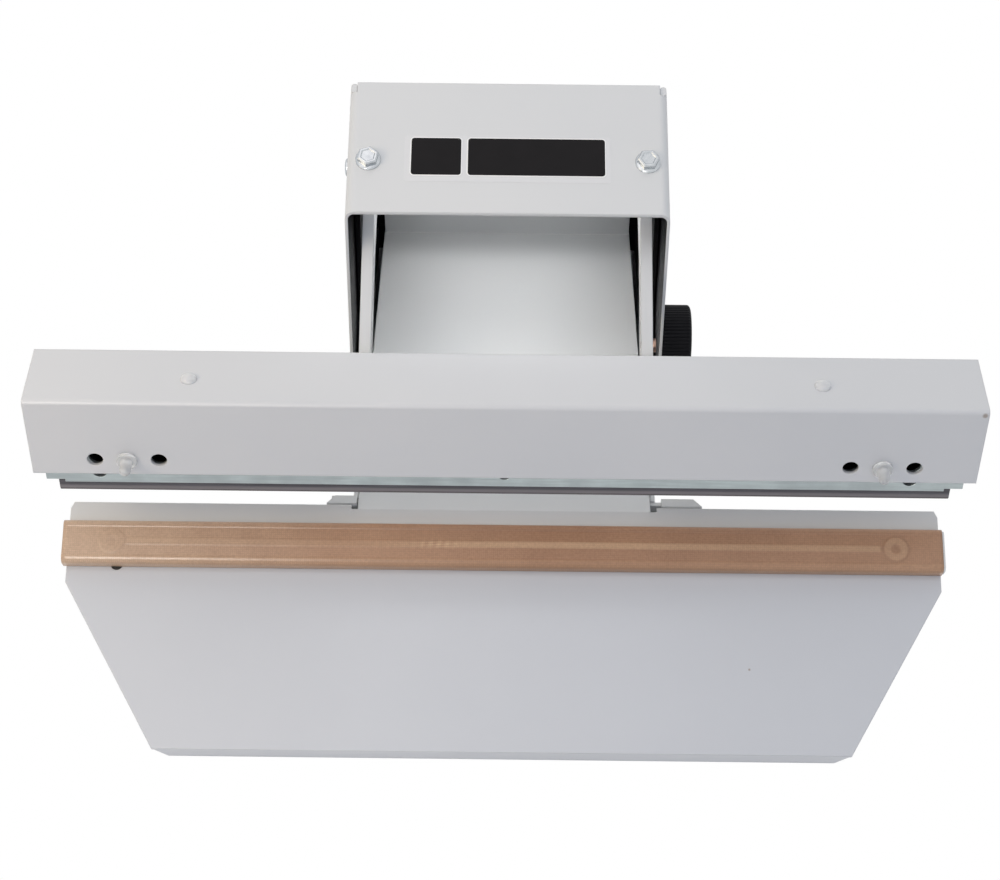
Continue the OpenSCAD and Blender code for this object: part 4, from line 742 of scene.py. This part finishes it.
def ribbed_knob():
    """Ribbed rim, rounded front edge and a sunk face, with the pointer raised on it."""
    form, rings, around = bmesh.new(), [], knob_ribs * 6
    rib = (0.0, 0.28, 0.4, 0.4, 0.28, 0.0)
    for radius, height, ribbed in ((14.2, 0, 0), (14.6, 0.4, 1), (14.6, 12.6, 1), (14.5, 13.2, 0.7),
                                   (14.1, 13.7, 0.2), (13.4, 14, 0), (12.2, 14, 0), (11.8, 13.4, 0),
                                   (0.01, 13.4, 0)):
        rings.append([form.verts.new((
            (radius + ribbed * rib[k % 6]) * mm * math.cos(2 * math.pi * k / around),
            (radius + ribbed * rib[k % 6]) * mm * math.sin(2 * math.pi * k / around), height * mm))
            for k in range(around)])
    for low, high in zip(rings, rings[1:]):
        for k in range(around):
            form.faces.new((low[k], low[(k + 1) % around], high[(k + 1) % around], high[k]))
    form.faces.new(list(reversed(rings[0])))
    form.faces.new(rings[-1])
    pointer = rounded_plate(-0.6 * mm, 3 * mm, 1.2 * mm, 7.6 * mm, 0.5 * mm, 13.2 * mm, 13.8 * mm)
    return merged(form, pointer)


knob_turned = Matrix.Rotation(math.pi / 2, 4, "Y")
add_piece("timer_knob_ribbed", moved(ribbed_knob(), Matrix.Translation(knob_at) @ knob_turned),
          black, "knob", "black_plastic", "timer_knob", smooth_angle=50)


# Switches, inlet and fuse holder: moulded black plastic in the back wall and by the pivot, and the switch's
# red plunger.
for moulded_piece in ("microswitch", "mains_inlet", "fuse_holder", "switch_frame", "rocker_switch"):
    dress(moulded_piece, black, 0.4 * mm)
dress("switch_plunger", speckled("moulded_red_plastic", "#a3241b", "#b83026", 1 * mm, 0.35), 0.2 * mm)


# Timer board and transformer: a green printed board with its parts, and varnished laminations with a coil
# in amber tape.
dress("timer_board", speckled("printed_board", "#1f5a30", "#2c6e3e", 4 * mm, 0.45), 0.2 * mm)
dress("transformer_core",
      speckled("varnished_laminations", "#35363a", "#4a4b4e", 0.7 * mm, 0.5, 0.6), 0.3 * mm)
dress("transformer_coil", speckled("amber_coil_tape", "#a8782e", "#c5933f", 3 * mm, 0.35), 1.5 * mm)


# Camera: the photograph's own view, with its lens, height, tilt and slight roll. It stands in front of the
# part and looks down on it.
camera_at, lens = (-0.83 * mm, -772.4 * mm, 635.6 * mm), 79.31
turn, look_down, roll = 0.093, 37.697, 0.586
camera = bpy.data.objects.new("camera", bpy.data.cameras.new("camera"))
bpy.context.scene.collection.objects.link(camera)
sensor = 36
camera.data.lens, camera.data.sensor_width = lens, sensor
camera.matrix_world = (Matrix.Translation(camera_at) @ Matrix.Rotation(math.radians(turn), 4, "Z")
                       @ Matrix.Rotation(math.radians(90 - look_down), 4, "X")
                       @ Matrix.Rotation(math.radians(roll), 4, "Z"))
bpy.context.scene.camera = camera


# Floor and light: a wide white floor in a white surround that is brightest overhead and a little bluish in
# front. A soft lamp is over the part and a warmer one near its left end, a tall one in front shows only in
# gloss and gives the cloth its gleam, and two under the hood stand in for the light of the room.
def white_to_the_eye(tree, lit, white):
    """Shows white where the camera looks or a surface mirrors, and lights the object with the other."""
    path = put(tree, "LightPath")
    seen = put(tree, "Math", {0: path.outputs["Is Camera Ray"], 1: path.outputs["Is Glossy Ray"]},
               operation="MAXIMUM")
    through = put(tree, "Math", {0: seen.outputs[0], 1: path.outputs["Is Transmission Ray"]},
                  operation="MAXIMUM")
    return put(tree, "MixShader", {0: through.outputs[0], 1: lit.outputs[0], 2: white.outputs[0]})


floor_form = bmesh.new()
bmesh.ops.create_grid(floor_form, x_segments=1, y_segments=1, size=3.0)
floor_mesh = bpy.data.meshes.new("floor")
floor_form.to_mesh(floor_mesh)
floor_form.free()
floor = bpy.data.objects.new("floor", floor_mesh)
floor.location.z = -0.3 * mm
bpy.context.scene.collection.objects.link(floor)
floor_paint, floor_tree, _ = start_material("white_floor")
matt = put(floor_tree, "BsdfDiffuse", {"Color": linear("#f4f4f4")})
glow = put(floor_tree, "Emission", {"Color": (1, 1, 1, 1), "Strength": 1.0})
close_material(floor_tree, white_to_the_eye(floor_tree, matt, glow))
floor_mesh.materials.append(floor_paint)

world = bpy.data.worlds.new("white_surround")
bpy.context.scene.world = world
world.use_nodes = True
world.node_tree.nodes.clear()


def sky(aim, colour):
    """Light from one side of the surround, strongest along its aim."""
    facing = put(world.node_tree, "TexCoord").outputs["Generated"]
    along = put(world.node_tree, "VectorMath", {0: facing, 1: aim}, operation="DOT_PRODUCT")
    share = put(world.node_tree, "Math", {0: along.outputs["Value"], 1: 0.0}, operation="MAXIMUM")
    return put(world.node_tree, "Background", {"Color": colour, "Strength": share.outputs[0]}).outputs[0]


from_above, from_front = sky((0, 0, 1), (1.07, 1.08, 1.08, 1)), sky((0, -1, 0), (0.11, 0.15, 0.27, 1))
both = put(world.node_tree, "AddShader", {0: from_above, 1: from_front})
plain = put(world.node_tree, "Background", {"Color": (1, 1, 1, 1), "Strength": 1.0})
put(world.node_tree, "OutputWorld", {"Surface": white_to_the_eye(world.node_tree, both, plain).outputs[0]})


def soft_lamp(name, at, aim, size, watts, colour, spread=180, mirrored=True, lights=True):
    """A soft lamp of a width and depth, turned to its aim. It may show in gloss only, or not at all there."""
    lamp = bpy.data.objects.new(name, bpy.data.lights.new(name, "AREA"))
    lamp.data.shape, lamp.data.size, lamp.data.size_y = "RECTANGLE", *size
    lamp.data.energy, lamp.data.color, lamp.data.spread = watts, linear(colour)[:3], math.radians(spread)
    lamp.location = at
    lamp.rotation_euler = (Vector(aim) - Vector(at)).to_track_quat("-Z", "Y").to_euler()
    lamp.visible_camera, lamp.visible_glossy, lamp.visible_diffuse = False, mirrored, lights
    bpy.context.scene.collection.objects.link(lamp)


soft_lamp("lamp_overhead", (-0.15, -0.2, 1.2), (0, -0.05, 0.1), (0.7, 0.7), 1.1, "#fff6f6")
soft_lamp("lamp_left", (-0.5, -0.4, 0.45), (0, -0.1, 0.08), (0.27, 0.27), 1.2, "#ffe9c8")
soft_lamp("lamp_gleam", (-0.33, -0.95, 0.5), (-0.1, -0.1, 0.06), (0.1, 0.5), 6.5, "#fffaf2", lights=False)
soft_lamp("lamp_under_hood", (0, -0.006, 0.19), (0, -0.004, 0.08), (0.112, 0.04), 0.098, "#ffffff",
          150, False)
soft_lamp("lamp_under_hood_back", (0, 0.058, 0.132), (0, 0.058, 0.09), (0.1, 0.01), 0.003, "#ffffff",
          90, False)
bpy.context.scene.view_settings.view_transform = "Standard"
